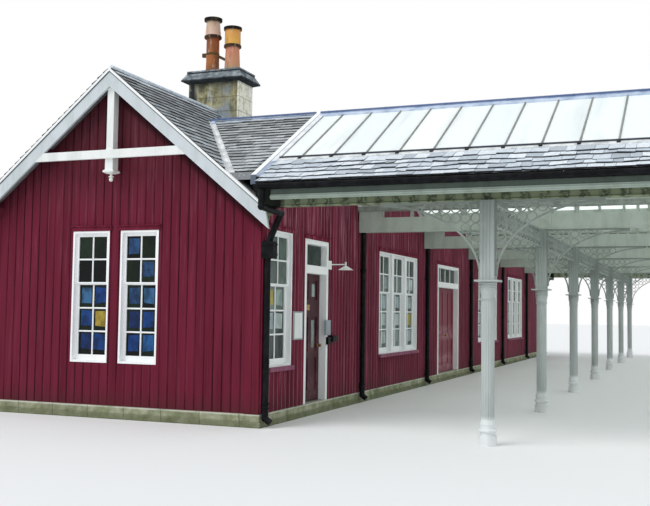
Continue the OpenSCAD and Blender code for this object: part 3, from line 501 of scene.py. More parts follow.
def stack_finish():
    """Stone blocks, sooty at the head, darker at the rear, streaked white, paler on the canopy
    side.
    """
    stone = Finish("stack_stone", "stone", 0.9, 0.1)
    across = stone.span("X", *CHIMNEY_X)
    stone.colour(stone.ramp(stone.noise(6.0, 9.0),
                            [(0.38, "#686854"), (0.5, "#96906c"), (0.62, "#b2ac8c")]))
    grey = stone.math("ADD", stone.band(across, 0.62, 0.8, 0.05),
                      stone.span("Z", 5.2, 5.0, 0.0, 0.7))
    blotches = stone.span(stone.noise(8.0, 7.0, (1, 1, 0.5), 5.0), 0.4, 0.56, 0.1, 0.9)
    stone.over("#969ea2", grey, blotches)
    streaks = stone.span(stone.noise(7.0, 6.0, (1, 1, 0.12), 3.0), 0.53, 0.62, 0.0, 0.9)
    stone.over("#d6d6cc", streaks)
    head = stone.span("Z", 5.4, 5.62, 0.0, 0.7)
    dark = stone.math("MAXIMUM", stone.span(across, 0.1, 0.2, 1.0, 0.0), head)
    soot = stone.span(stone.noise(5.0, 6.0, seed=6.0), 0.34, 0.5, 0.2, 0.95)
    stone.over("#22282e", dark, soot)
    paler_part = stone.ramp(stone.noise(9.0, 7.0, seed=9.0), [(0.36, "#d8d2b0"), (0.52, "#fffdee")])
    stone.over(paler_part, stone.span("X", CHIMNEY_X[1] - 0.03, CHIMNEY_X[1] - 0.01))
    joints = stone.blocks(0.36, 0.255)
    stone.over("#545244", joints, 0.35)
    return stone.bump(stone.math("SUBTRACT", stone.noise(30.0, 8.0), joints), 0.01, 0.9)


def cap_finish():
    """Slate-grey capping with a dark foot and a dark line near its top."""
    stone = Finish("cap_stone", "stone", 0.85, 0.15)
    stone.colour(stone.ramp(stone.noise(9.0, 7.0),
                            [(0.34, "#4e565c"), (0.5, "#788086"), (0.66, "#a6aeb2")]))
    low, high = (corner.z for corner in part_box("chimney_cap"))
    stone.over("#202428", stone.span("Z", low + 0.05, low + 0.075, 0.9, 0.0))
    stone.over("#34383c", stone.band("Z", high - 0.05, high - 0.03, 0.008))
    return stone.bump(stone.noise(30.0, 8.0), 0.008, 0.8)


def terracotta_finish():
    """The taller pot is brown under a pink head, the other salmon under an orange one."""
    pot = Finish("terracotta", "terracotta", 0.85, 0.15)
    height = pot.span("Z", POTS_Z, POTS_Z + 1.044)
    black, groove = "#1a1816", "#3c2e26"
    pot.colour(pot.ramp(height, [(0.0, "#96684a"), (0.2, "#ac6c44"), (0.615, "#a05c3c"),
                                 (0.63, groove), (0.668, groove), (0.68, "#e2beac"),
                                 (0.9, "#ccb096"), (0.925, black)]))
    short = pot.ramp(height, [(0.0, "#bab28c"), (0.12, "#ce9878"), (0.42, "#d48a70"),
                              (0.435, groove), (0.475, groove), (0.485, "#ecb45c"),
                              (0.715, "#dea05a"), (0.735, black)])
    pot.over(short, pot.span("X", -2.41, -2.4))
    stains = pot.noise(7.0, 6.0, (1, 1, 0.3))
    pot.over("#544c3a", pot.span(stains, 0.5, 0.72, 0.0, 0.7))
    pale = pot.span(pot.noise(12.0, 5.0, (1, 1, 0.3), 5.0), 0.58, 0.7, 0.0, 0.6)
    below_rim = pot.span(height, 0.7, 0.72, 1.0, 0.4)
    pot.over("#e8d4be", pale, below_rim)
    return pot.bump(pot.noise(30.0, 5.0), 0.003, 0.5)


def iron_finish(name, slot, dark, worn, shine=0.2):
    iron = Finish(name, slot, 0.5, shine)
    iron.colour(iron.ramp(iron.noise(10.0, 5.0), [(0.45, dark), (0.8, worn)]))
    return iron.bump(iron.noise(50.0, 3.0), 0.001, 0.4)


def brass_finish():
    brass = Finish("brass", "brass", 0.3, Metallic=1.0)
    brass.colour(brass.ramp(brass.noise(30.0), [(0.4, "#96763c"), (0.7, "#be9e60")]))
    return brass


def floor_boards_finish():
    wood = Finish("floorboards", "floorboards", 0.6)
    wood.colour(wood.ramp(wood.noise(12.0, 6.0, (1, 0.06, 1)),
                          [(0.35, "#544230"), (0.7, "#866c50")]))
    return wood.bump(wood.noise(40.0, 4.0, (1, 0.05, 1)), 0.002, 0.5)


def dress(finish, *names):
    """Put a finish on nodes of the frame."""
    for name in names:
        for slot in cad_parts[name].material_slots:
            slot.material = finish.material
    return finish


# On the gable the colour near the ridge is greyer as painted shade and reflection, and the last
# value sets the painted shadow under the verge.
gable_paint = dress(
    board_paint("boards_gable", "#601b2c", "#74253a", "#582e34", 0.12, 0.0, 0.2, "#380c1c", 0.75),
    "wall_gable_near", "wall_gable_far", "purlins")
platform_paint = dress(
    board_paint("boards_platform", "#60162a", "#822840", "#6a3646", 0.8, 0.8, 0.6, "#120208"),
    "wall_rear", "wall_platform_1", "wall_platform_2", "wall_platform_3", "walls_over_doors",
    "wall_gablets")
dress(board_paint("sill_crimson", "#7a425c", "#9c687c", "#783c50", 0.8, 0.0, 0.3, "#2e0816"),
      "sills")
dress(door_paint("door_maroon", "#320914", "#481020", 0.15), "door_1_leaf")
dress(door_paint("door_crimson", "#68142a", "#84263e", 0.75), "door_2_leaf_near",
      "door_2_leaf_far")
dress(verge_paint(), "bargeboards")
post_white = dress(oil_paint("post_white", "white_timber", "#eef0ee", "#bec6c0", 0.5),
                   "collars", "king_posts", "notice_plate")
dress(canopy_paint(), "canopy_frames_near", "canopy_frames_far", "tie_beams", "valley_posts")
dress(fascia_paint(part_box("end_fascias")[0].z), "end_fascias")
dress(soffit_paint(), "canopy_slates")
dress(oil_paint("rail_white", "white_timber", "#bcc6be", "#848e7a", 0.7), "rail_barges_near",
      "rail_barges_far")
joinery_white = dress(oil_paint("joinery_white", "white_timber", "#fafbfc", "#d2d6d0", 0.3),
                      "gable_windows", "platform_windows", "door_frame_1", "door_frame_2")
dress(column_paint(), "columns")
# The lace iron is white paint, laid on grey here as painted shade under the canopy.
dress(oil_paint("lace_iron", "white_iron", "#949d97", "#6e796f", 0.5), "brackets_wall_side",
      "brackets_rail_side", "friezes")
dress(oil_paint("enamel", "white_iron", "#f4f6f4", "#ced2c8", 0.3, 0.4), "wall_lamp")
grey_box = oil_paint("grey_box", "white_iron", "#9ea8b0", "#6e767a", 0.5)
main_slate = dress(slate_finish("main_slates", "#787c7f", "#a2a9ac", "#c8d0d4", 0.6),
                   "roof_platform_side", "roof_rear_side")
cross_slate = dress(slate_finish("cross_slates", "#888b8e", "#b6bbbd", "#d6dadc", 0.1),
                    "cross_roofs_near", "cross_roofs_far")
foot_slate = slate_finish("foot_slates", "#a8b0b8", "#ced8e2", "#f4faff", 0.0, 26.0)
dress(ridge_finish("canopy_ridge_lead", "#cedaec", "#a0b2cc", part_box("canopy_ridges")[1].z, 0.9),
      "canopy_ridges")
dress(ridge_finish("main_ridge_lead", "#e8f0f6", "#c0cedc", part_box("main_ridge")[1].z, 0.0),
      "main_ridge")
dress(lead_finish("gutter_lead", "#a8b0a8", "#80887e", 0.1), "valley_gutters")
grey_lead = lead_finish("grey_lead", "#a4b2c4", "#7a8696")
valley_lead = lead_finish("valley_lead", "#f0f2f2", "#b0b6b8")
# Dark lead at the foot of the canopy glass, painted as a shadow line.
foot_shadow_lead = lead_finish("foot_shadow_lead", "#4a5058", "#32363c", 0.1)
cap_lead = lead_finish("cap_lead", "#969694", "#70706e")
clip_lead = lead_finish("clip_lead", "#6076a0", "#42547a")
skew_lead = skew_flashing_finish()
dress(skew_finish(), "skews_near", "skews_far")
dress(roof_glass_finish(), "canopy_glass_near", "canopy_glass_far")
gable_glass = window_glass_finish(
    "gable_glass", ["#080e0c", "#101e18", "#1e2e22", "#162216", "#183e7a", "#265894", "#1c366c",
                    "#22546e", "#2e507c", "#1e4888", "#3c6892", "#1a4282", "#2a5c96", "#a89240"],
    0.6)
platform_glass = dress(window_glass_finish(
    "platform_glass", ["#3a4642", "#54645e", "#6e807a", "#607068", "#9eb0ac", "#bac8c6",
                       "#889a98", "#acbeba", "#b4c4c8", "#96a8a0", "#a6babe", "#bececa",
                       "#8ca09e", "#aca03a"], 0.3), "window_glass")
dress(window_glass_finish("door_glass", ["#a0b2b0", "#c4d0cc"], 0.4), "door_1_lights")
dress(plinth_finish(), "plinth")
dress(stack_finish(), "chimney_stack")
dress(cap_finish(), "chimney_cap")
dress(terracotta_finish(), "chimney_pots")
black_iron = dress(iron_finish("black_iron", "black_iron", "#08090c", "#222328", 0.12),
                   "eaves_gutters", "downpipes", "door_hinges")
rust = iron_finish("rust", "black_iron", "#4e3c22", "#7c6238")
brass = dress(brass_finish(), "door_1_handle", "door_2_handle")
dress(floor_boards_finish(), "floor")


# Building pieces


SINK = 0.001


def rectangle(u0, u1, v0, v1):
    return [(u0, v0), (u1, v0), (u1, v1), (u0, v1)]


class Piece:
    """Vertices and faces of one piece in the working frame.

    Every vertex has a tone, random for each slate, board or pane, and a joint value, 1 in
    the dark gap beside it.
    """

    def __init__(self):
        self.verts, self.faces = [], []
        self.tones, self.joints = [], []

    def add(self, verts, faces, tone, joints):
        first = len(self.verts)
        self.verts += verts
        self.tones += [tone] * len(verts)
        self.joints += joints
        self.faces += [[first + i for i in face] for face in faces]

    def prism(self, low, high, tone=0.5, joints=None):
        """Solid between two outlines of as many points."""
        n = len(low)
        sides = [(i, (i + 1) % n, n + (i + 1) % n, n + i) for i in range(n)]
        self.add(low + high, [list(range(n))[::-1], list(range(n, 2 * n)), *sides], tone,
                 2 * (joints or [0.0] * n))

    def sweep(self, outline, place, low, high, tone=0.5):
        """Solid from place(u, v, low) to place(u, v, high) over an outline of (u, v)."""
        self.prism([place(u, v, low) for u, v in outline],
                   [place(u, v, high) for u, v in outline], tone)

    def upright(self, outline, z0, z1):
        self.sweep(outline, lambda x, y, z: (x, y, z), z0, z1)

    def box(self, x0, x1, y0, y1, z0, z1):
        self.upright(rectangle(x0, x1, y0, y1), z0, z1)

    def build(self, name, finish, body="building", bevel=0.0):
        mesh = bpy.data.meshes.new(name)
        mesh.from_pydata([Vector(v) + SHIFT for v in self.verts], [], self.faces)
        for label, values in (("tone", self.tones), ("joint", self.joints)):
            mesh.attributes.new(label, "FLOAT", "POINT").data.foreach_set("value", values)
        mesh.materials.append(finish.material)
        shape = bmesh.new()
        shape.from_mesh(mesh)
        bmesh.ops.recalc_face_normals(shape, faces=shape.faces)
        shape.to_mesh(mesh)
        shape.free()
        piece = bpy.data.objects.new(name, mesh)
        bpy.context.collection.objects.link(piece)
        if bevel:
            edge = piece.modifiers.new("edges", "BEVEL")
            edge.width = bevel
            edge.segments = 2
            edge.limit_method = "ANGLE"
        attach(piece, body)


def clip(polygon, region):
    """Part of a polygon inside a convex region whose corners run anticlockwise."""
    for (ax, ay), (bx, by) in zip(region, region[1:] + region[:1]):
        kept = []
        for p, q in zip(polygon, polygon[1:] + polygon[:1]):
            p_in = (bx - ax) * (p[1] - ay) - (by - ay) * (p[0] - ax)
            q_in = (bx - ax) * (q[1] - ay) - (by - ay) * (q[0] - ax)
            if p_in >= 0:
                kept.append(p)
            if p_in * q_in < 0:
                t = p_in / (p_in - q_in)
                kept.append((p[0] + t * (q[0] - p[0]), p[1] + t * (q[1] - p[1])))
        polygon = kept
    return polygon


def slope_place(foot_point, along, rise):
    """place() of a slope through foot_point, from its level and its rising direction.

    place(u, v, h) gives the point u along the eaves, v up the slope and h above it.
    """
    along, rise = Vector(along), Vector(rise).normalized()
    out = along.cross(rise).normalized()
    out = out if out.z > 0 else -out
    return lambda u, v, h: tuple(Vector(foot_point) + along * u + rise * v + out * h)


def main_place(side):
    """place() of a main slope, with u = 0 at the near verge and v = 0 at the eaves."""
    run = HALF if side > 0 else HALF + REAR_EAVES
    return slope_place((-HALF + side * run, -VERGE, main_top(-HALF + side * run)), (0, 1, 0),
                       (-side, 0, MAIN_RISE))


def cross_sides():
    """Number of the bay and side, -1 for the near one, of every slope of the cross roofs."""
    return [(i, side) for i in range(BAYS) for side in (-1, 1)]


def at_end(i, side):
    return i == (0 if side < 0 else BAYS - 1)


def foot_y(i, side, end_y):
    """Y of the foot of a cross slope; end_y is that of the near end slope."""
    if at_end(i, side):
        return end_y if side < 0 else LENGTH - end_y
    return col_y(i + (side > 0)) - side * VALLEY_HALF


def cross_place(i, side, y):
    """place() of a cross slope, with u = X and v = 0 at y."""
    return slope_place((0, y, cross_top(y, i)), (1, 0, 0), (0, -side, CROSS_RISE))


# Boarding

BOARD_T = 0.009
GABLE_CHAMFER = 0.022
WALL_CHAMFER = 0.025
BOARD_SINK = 0.002
TRIM_T = 0.022
ROOF_GAP = 0.002
# Corner boards, and the flat top of the wall between the gablets, half as wide as it is
CORNER_W = 0.11
CORNER_STEP = CORNER_W + 0.004
WALL_TOP = 2.99
FLAT_HALF = 0.13


def board_points(us, a, b, chamfer):
    """(u, depth, joint) across the part us of the board from a to b."""
    thinnest, touching = 0.12, 0.001
    points = []
    for u in us:
        edge = min(u - a, b - u)
        depth = BOARD_T * max(thinnest, min(1, edge / chamfer))
        points.append((u, depth, float(edge < touching)))
    return points


def boarded(piece, start, end, high, holes, place, chamfer, bends, seed):
    """Vertical boards from start to end along a wall, chamfered to V joints.

    high(u) is the height of their tops, which bend at bends, holes are (u0, u1, z0, z1), and
    place(u, d, z) gives the point u along the wall, d in front of its face and z up.
    """
    rng = random.Random(seed)
    count = round((end - start) / BOARD)
    step = (end - start) / count
    for k in range(count):
        a, b = start + k * step, start + (k + 1) * step
        tone = rng.random()
        cuts = sorted({a, b} | {u for hole in holes for u in hole[:2] if a < u < b})
        knots = [a + chamfer, b - chamfer, *bends]
        for p, q in zip(cuts, cuts[1:]):
            us = [p, *sorted(u for u in knots if p < u < q), q]
            points = board_points(us, a, b, chamfer)
            points += [(q, -BOARD_SINK, 1.0), (p, -BOARD_SINK, 1.0)]
            joints = [joint for u, d, joint in points]
            for z0, z1 in board_spans(holes, p, q):
                piece.prism([place(u, d, z0) for u, d, joint in points],
                            [place(u, d, high(u) if z1 is None else z1)
                             for u, d, joint in points], tone, joints)


def board_spans(holes, p, q):
    """Stretches of a board between the openings that it meets; None stands for its top."""
    spans, foot = [], PLINTH
    for u0, u1, z0, z1 in sorted(holes, key=lambda hole: hole[2]):
        if u0 <= p and q <= u1:
            spans.append((foot, z0))
            foot = z1
    return [span for span in spans if span[1] - span[0] > 0.01] + [(foot, None)]


def gable_high(x):
    return main_top(x) - MAIN_V - ROOF_GAP


def platform_high(y):
    i = min(BAYS - 1, max(0, int((y - COL_0) // BAY)))
    if min(abs(y - col_y(i)), abs(y - col_y(i + 1))) < FLAT_HALF:
        return WALL_TOP
    return cross_top(y, i) - CROSS_V - ROOF_GAP


def window_holes(starts, width):
    return [(u, u + width, SILL_Z, HEAD_Z) for u in starts]


def head_strips(piece, holes, place):
    """Flat board over each opening, under a thin drip mould."""
    for u0, u1, z0, z1 in holes:
        for low, high, d, reach in ((z1, z1 + 0.062, TRIM_T, 0.03),
                                    (z1 + 0.062, z1 + 0.078, 0.04, 0.045)):
            piece.sweep(rectangle(u0 - reach, u1 + reach, -SINK, d), place, low, high, 0.0)


gable_holes = window_holes(GABLE_WINDOWS, SASH_W)
platform_holes = (window_holes(SINGLE_WINDOWS, SINGLE_W)
                  + window_holes(TRIPLE_WINDOWS, TRIPLE_W)
                  + [(y, y + w, PLINTH, DOOR_Z) for y, w in DOORS])
platform_bends = ([ridge_y(i) for i in range(BAYS)]
                  + [col_y(i) + side * FLAT_HALF for i in range(BAYS + 1) for side in (-1, 1)])


def gable_boards():
    for end, turn in (("near", lambda x, d, z: (x, -d, z)),
                      ("far", lambda x, d, z: (x, LENGTH + d, z))):
        boards, trims = Piece(), Piece()
        boarded(boards, -RANGE_W, 0, gable_high, gable_holes, turn, GABLE_CHAMFER, [-HALF], 3)
        boards.build(f"boards_gable_{end}", gable_paint)
        head_strips(trims, gable_holes, turn)
        for x in (-RANGE_W, CORNER_STEP - RANGE_W, -CORNER_STEP - CORNER_W, -CORNER_W):
            outline = rectangle(x, x + CORNER_W, -SINK, TRIM_T)
            trims.prism([turn(u, d, PLINTH) for u, d in outline],
                        [turn(u, d, gable_high(u)) for u, d in outline], 0.0)
        trims.build(f"trims_gable_{end}", gable_paint, bevel=0.003)


def wall_boards():
    def platform(y, d, z):
        return d, y, z

    boards, trims = Piece(), Piece()
    boarded(boards, 0, LENGTH, platform_high, platform_holes, platform, WALL_CHAMFER,
            platform_bends, 4)
    boards.build("boards_platform", platform_paint)
    head_strips(trims, platform_holes, platform)
    for y in (0, LENGTH - CORNER_W):
        outline = rectangle(y, y + CORNER_W, -SINK, TRIM_T)
        trims.sweep(outline, platform, PLINTH, WALL_TOP, 0.0)
    trims.build("trims_platform", platform_paint, bevel=0.003)
    boards = Piece()
    boarded(boards, 0, LENGTH, lambda y: WALL_TOP, [], lambda y, d, z: (-RANGE_W - d, y, z),
            WALL_CHAMFER, [], 5)
    boards.build("boards_rear", platform_paint)


# Slating and lead

COURSE = 0.125
SLATE_W = 0.2
SLATE_T = 0.011
FOOT_COURSE = 0.15
VALLEY_BACK = 0.075
VERGE_LAP = 0.05
SLATES_U = (-VERGE_LAP, LENGTH + 2 * VERGE + VERGE_LAP)
RIDGE_CLEAR = 0.03
LEAD_BED = (0.001, 0.006)
MAIN_LENGTH = math.hypot(1, MAIN_RISE)
CROSS_LENGTH = math.hypot(1, CROSS_RISE)
# How far each main slope runs up for each metre along a valley's plan, and how high the
# cross ridges meet it
VALLEY_M = CROSS_RISE / MAIN_RISE * MAIN_LENGTH
APEX_V = (HALF - (RIDGE_Z - CROSS_Z) / MAIN_RISE) * MAIN_LENGTH
BACK_V = VALLEY_BACK * math.hypot(1, VALLEY_M)
BACK_U = BACK_V / VALLEY_M


def slated(piece, region, place, course, width, seed, ragged, wave=0.0, thick=SLATE_T):
    """Courses of slates over a convex region of a slope, counted from v = 0.

    ragged is how unevenly their lower corners lie, as a part of the course, and wave how far
    a whole course sags.
    """
    rng = random.Random(seed)
    left, right = min(u for u, v in region), max(u for u, v in region)
    foot, top = min(v for u, v in region), max(v for u, v in region)
    gap, bed, reach = 0.002, 0.003, 1.25 * course
    for row in range(math.floor(foot / course), math.ceil(top / course)):
        low = row * course
        phase = rng.uniform(0, 2 * math.pi)
        u = left - rng.uniform(0, width)
        while u < right:
            w = width * rng.uniform(0.65, 1.4)
            sag = wave * (1 + math.sin(2.3 * u + phase))
            slips = [sag + rng.uniform(0, ragged) * course for _ in range(2)]
            lift = thick * rng.uniform(1.5, 2.3)
            cut = clip([(u + gap, low - slips[0]), (u + w - gap, low - slips[1]),
                        (u + w - gap, low + reach), (u + gap, low + reach)], region)
            u += w
            n = len(cut)
            if n < 3:
                continue
            faces = [list(range(n))]
            faces += [(k, (k + 1) % n, n + (k + 1) % n, n + k) for k in range(n)]
            raised = [place(x, y, bed + lift * min(1, max(0, 1 - (y - low) / reach)))
                      for x, y in cut]
            piece.add(raised + [place(x, y, -SINK) for x, y in cut], faces, rng.random(),
                      [0.0] * n + [1.0] * n)


def main_regions():
    """Parts of the platform slope between the valleys of the cross roofs."""
    left, right = SLATES_U
    apexes = [ridge_y(i) + VERGE for i in range(BAYS)]
    first = apexes[0] - BACK_U
    last = apexes[-1] + BACK_U
    regions = [[(left, APEX_V - VALLEY_M * (first - left)), (first, APEX_V), (left, APEX_V)],
               [(right, APEX_V - VALLEY_M * (right - last)), (right, APEX_V),
                (last, APEX_V)]]
    low = APEX_V - VALLEY_M * (BAY / 2 - BACK_U)
    for a, b in zip(apexes, apexes[1:]):
        regions.append([(a + BACK_U, APEX_V), ((a + b) / 2, low), (b - BACK_U, APEX_V)])
    return regions


def main_slates():
    y0, y1 = (y + VERGE for y in CHIMNEY_Y)
    left, right = SLATES_U
    for side, name, run, foot in ((1, "platform_side", HALF, APEX_V),
                                  (-1, "rear_side", HALF + REAR_EAVES, 0)):
        slates = Piece()
        place = main_place(side)
        top = run * MAIN_LENGTH - RIDGE_CLEAR
        to_chimney = abs(CHIMNEY_X[side > 0] + HALF)
        beside = (run - to_chimney) * MAIN_LENGTH
        regions = [rectangle(left, y0, foot, top), rectangle(y0, y1, foot, beside),
                   rectangle(y1, right, foot, top)]
        for region in regions + (main_regions() if side > 0 else []):
            slated(slates, region, place, COURSE, SLATE_W, seed=11 + side, ragged=0.16)
        slates.build(f"slates_{name}", main_slate)


def valley_line(i, side):
    """Foot Y of a cross slope over the building, and X of its valley at foot and ridge."""
    y = foot_y(i, side, -VERGE)
    return (y, -HALF + (RIDGE_Z - cross_top(y, i)) / MAIN_RISE,
            -HALF + (RIDGE_Z - CROSS_Z) / MAIN_RISE)


def cross_slates():
    slates = Piece()
    for i, side in cross_sides():
        y, low_x, high_x = valley_line(i, side)
        top = abs(ridge_y(i) - y) * CROSS_LENGTH - RIDGE_CLEAR
        back = VALLEY_BACK * math.hypot(1, (high_x - low_x) / top)
        region = [(low_x + back, 0), (-0.005, 0), (-0.005, top), (high_x + back, top)]
        slated(slates, region, cross_place(i, side, y), COURSE, SLATE_W, seed=30 + 2 * i,
               ragged=0.14)
    slates.build("slates_cross_roofs", cross_slate)


def valley_flashings():
    """Lead wings on both slopes of each open valley."""
    lead = Piece()
    for i, side in cross_sides():
        y, low_x, high_x = valley_line(i, side)
        foot, ridge = y + VERGE, ridge_y(i) + VERGE
        low_v = APEX_V - VALLEY_M * abs(ridge - foot)
        lead.sweep([(foot, low_v), (ridge, APEX_V), (ridge + side * BACK_U, APEX_V),
                    (foot, low_v + BACK_V)], main_place(1), *LEAD_BED)
        top = abs(ridge_y(i) - y) * CROSS_LENGTH
        back = VALLEY_BACK * math.hypot(1, (high_x - low_x) / top)
        lead.sweep([(low_x, 0), (low_x + back, 0), (high_x + back, top), (high_x, top)],
                   cross_place(i, side, y), *LEAD_BED)
    lead.build("valley_flashings", valley_lead)


def canopy_slates():
    slates = Piece()
    for i, side in cross_sides():
        y = foot_y(i, side, EAVE_Y)
        high = abs(split_y(i, side) - y) * CROSS_LENGTH - SILL_LEAD
        foot = -0.02 if at_end(i, side) else 0
        course = high / round(high / FOOT_COURSE)
        slated(slates, rectangle(SKEW_LEAD, CANOPY_X, foot, high), cross_place(i, side, y),
               course, 0.17, seed=60 + 2 * i, ragged=0.35, wave=0.014, thick=0.015)
    slates.build("slates_canopy_foot", foot_slate)


def split_y(i, side):
    """Y where the slated foot of a canopy slope meets the glass."""
    return col_y(i + (side > 0)) - side * SLATED_FOOT


def chimney_flashing():
    """Lead on the slates round the stack."""
    lead = Piece()
    u0, u1 = (y + VERGE for y in CHIMNEY_Y)
    wing, thick = 0.12, 0.03
    for side, run in ((1, HALF), (-1, HALF + REAR_EAVES)):
        place = main_place(side)
        edge = abs(CHIMNEY_X[side > 0] + HALF)
        low, high = (run - edge) * MAIN_LENGTH, run * MAIN_LENGTH - 0.14
        for a, b in ((u0 - wing, u0), (u1, u1 + wing)):
            lead.sweep(rectangle(a, b, low, high), place, 0, thick)
        lead.sweep(rectangle(u0 - wing, u1 + wing, low - 0.15, low), place, 0, thick)
    lead.build("chimney_flashing", grey_lead)


# Glazing of the canopy


def arc(outer, inner, degrees):
    """Outline of a strap bent round the origin through some angles."""
    turns = [math.radians(a) for a in degrees]
    return [(r * math.cos(a), r * math.sin(a))
            for r, row in ((outer, turns), (inner, turns[::-1])) for a in row]


def glazing():
    """Caps over the bars with a shoe at each foot, and the lead that edges the glass, dark along
    its foot as a painted shadow line.
    """
    caps, shoes, sills, feet = Piece(), Piece(), Piece(), Piece()
    cap = [(-0.014, 0), (-0.012, 0.01), (-0.005, 0.018), (0.005, 0.018), (0.012, 0.01),
           (0.014, 0)]
    shoe = rectangle(-0.022, 0.022, 0.002, 0.03)
    foot = 0.012
    for i, side in cross_sides():
        place = cross_place(i, side, split_y(i, side))
        high = abs(ridge_y(i) - split_y(i, side)) * CROSS_LENGTH - 0.115
        sills.sweep(rectangle(SKEW_LEAD, CANOPY_X, -SILL_LEAD, -foot), place, 0, 0.016)
        # Dark lead at the foot of the glass, painted as its shadow line.
        feet.sweep(rectangle(SKEW_LEAD, CANOPY_X, -foot, foot), place, 0, 0.034)
        for k in range(1, PANES + 1):
            x = BAR_0 + k * BAR_STEP
            caps.sweep(cap, lambda u, h, v: place(x + u, v, h), 0, high)
            shoes.sweep(shoe, lambda u, h, v: place(x + u, v, h), -0.075, -0.02)
    caps.build("glazing_caps", cap_lead)
    shoes.build("glazing_shoes", black_iron)
    sills.build("glazing_sills", valley_lead)
    feet.build("glazing_feet", foot_shadow_lead)


def skew_flashings():
    """Lead between each skew and the first pane."""
    lead = Piece()
    profile = [(SKEW_W, 0.0), (SKEW_LEAD, 0.0), (SKEW_LEAD, 0.008), (0.11, 0.02),
               (SKEW_W, 0.022)]
    for i, side in cross_sides():
        y = foot_y(i, side, NOTCH_Y)
        top = abs(ridge_y(i) - y) * CROSS_LENGTH - 0.1
        place = cross_place(i, side, y)
        lead.sweep(profile, lambda u, h, v: place(u, v, h), 0, top)
    lead.build("skew_flashings", skew_lead)


def ridge_clips():
    """Straps that hold the lead rolls of the canopy ridges."""
    clips = Piece()
    z = CROSS_Z + 0.0263
    outline = arc(0.027, 0.0235, range(-30, 211, 30))
    for i in range(BAYS):
        for k in range(PANES // 2 + 1):
            x = 0.2 + 2 * k * BAR_STEP
            clips.sweep(outline, lambda y, h, x: (x, ridge_y(i) + y, z + h), x, x + 0.03)
    clips.build("ridge_clips", clip_lead)


def eaves_details():
    """Black boards behind the end gutters, partly painted shade in the gap there, and the iron
    straps that carry these.
    """
    boards, straps = Piece(), Piece()
    z = cross_top(EAVE_Y, 0)
    count, gap = 3, 0.002
    step = (CANOPY_X - NOTCH_X) / count
    outline = arc(GUTTER_R + 0.002, GUTTER_R - 0.001, range(195, 346, 15))
    for y, side in ((EAVE_Y, -1), (LENGTH - EAVE_Y, 1)):
        for k in range(count):
            x = NOTCH_X + k * step
            boards.box(x + gap, x + step - gap, y - 0.004, y + 0.008, z - 0.05, z - 0.012)
        middle = y + side * GUTTER_R
        for k in range(1, PANES + 1):
            x = BAR_0 + k * BAR_STEP - 0.012
            straps.sweep(outline, lambda p, h, x: (x, middle + p, z - GUTTER_DROP + h), x,
                         x + 0.024)
    # The black boards stand partly for the shade behind the gutters.
    boards.build("eaves_shade_boards", black_iron, bevel=0.002)
    straps.build("gutter_straps", black_iron)


# Windows

TOP_RAIL = 0.08
MEETING_HALF = 0.02
BOTTOM_RAIL = 0.11
# Depth of each sash in its wall, its z range, rows of panes and share of patched ones
LOWER_SASH = (0.07, SILL_Z + BOTTOM_RAIL, MEET_Z - MEETING_HALF, 3, 0.95)
UPPER_SASH = (0.035, MEET_Z + MEETING_HALF, HEAD_Z - TOP_RAIL, 2, 0.3)


def bar_profile(front, back, chamfer):
    """Section of a glazing bar, as (across, depth)."""
    half, flat = 0.012, 0.005
    return [(-half, back), (-half, front + chamfer), (-flat, front), (flat, front),
            (half, front + chamfer), (half, back)]


def sash_window(bars, panes, width, lights, place, rng):
    """Bars and panes of every sash of a window; place(u, d, z) goes d into the wall.

    Most panes mirror a patch of something bright, more of them in the lower sashes.
    """
    light = (width - 2 * LINING - (lights - 1) * MULLION) / lights
    for k in range(lights):
        start = LINING + k * (light + MULLION)
        left, right = start + STILE, start + light - STILE
        middle = (left + right) / 2
        for depth, z0, z1, rows, patched in (LOWER_SASH, UPPER_SASH):
            profile = bar_profile(depth + 0.004, depth + 0.0175, 0.006)
            bars.sweep(profile, lambda u, d, z: place(middle + u, d, z), z0, z1)
            levels = [z0 + row * (z1 - z0) / rows for row in range(rows + 1)]
            for z in levels[1:-1]:
                bars.sweep(profile, lambda v, d, u: place(u, d, z + v), left, right)
            for low, high in zip(levels, levels[1:]):
                for a, b in ((left, middle), (middle, right)):
                    corners = rectangle(a, b, low, high)
                    pane(panes, corners, place, depth + 0.0185, rng.uniform(0, 0.28))
                    if rng.random() < patched:
                        pane(panes, inner(corners, rng), place, depth + 0.0178,
                             rng.uniform(0.3, 1))


def pane(panes, corners, place, depth, tone):
    panes.sweep(corners, lambda u, z, d: place(u, d, z), depth, depth + 0.0008, tone)


def inner(corners, rng):
    """Corners of a patch inside a pane, a little out of square."""
    (u0, z0), (u1, z1) = corners[0], corners[2]
    patch = []
    for u, z in corners:
        across = (u1 - u0) * rng.uniform(0.1, 0.17)
        up = (z1 - z0) * (rng.uniform(0.18, 0.26) if z == z0 else rng.uniform(0.08, 0.14))
        patch.append((u + across if u == u0 else u - across, z + up if z == z0 else z - up))
    return patch


def windows():
    bars, panes = Piece(), Piece()
    rng = random.Random(39242)
    for x in GABLE_WINDOWS:
        sash_window(bars, panes, SASH_W, 1, lambda u, d, z: (x + u, d, z), rng)
        sash_window(bars, panes, SASH_W, 1, lambda u, d, z: (x + u, LENGTH - d, z), rng)
    panes.build("window_panes_gables", gable_glass)
    panes = Piece()
    rng = random.Random(303)
    for starts, width, lights in ((SINGLE_WINDOWS, SINGLE_W, 1),
                                  (TRIPLE_WINDOWS, TRIPLE_W, 3)):
        for y in starts:
            sash_window(bars, panes, width, lights, lambda u, d, z: (-d, y + u, z), rng)
    fanlight_bars(bars)
    bars.build("window_bars", joinery_white)
    panes.build("window_panes_platform", platform_glass)


def fanlight_bars(bars):
    """Upright bars of the lights over the doors."""
    profile = bar_profile(0.07, 0.088, 0.008)
    for (y, width), count in zip(DOORS, (0, 3)):
        clear = width - 2 * JAMB
        for k in range(1, count + 1):
            middle = y + JAMB + k * clear / (count + 1)
            bars.sweep(profile, lambda u, d, z: (-d, middle + u, z), TRANSOM_Z + 0.125,
                       DOOR_Z - JAMB)


# Fittings


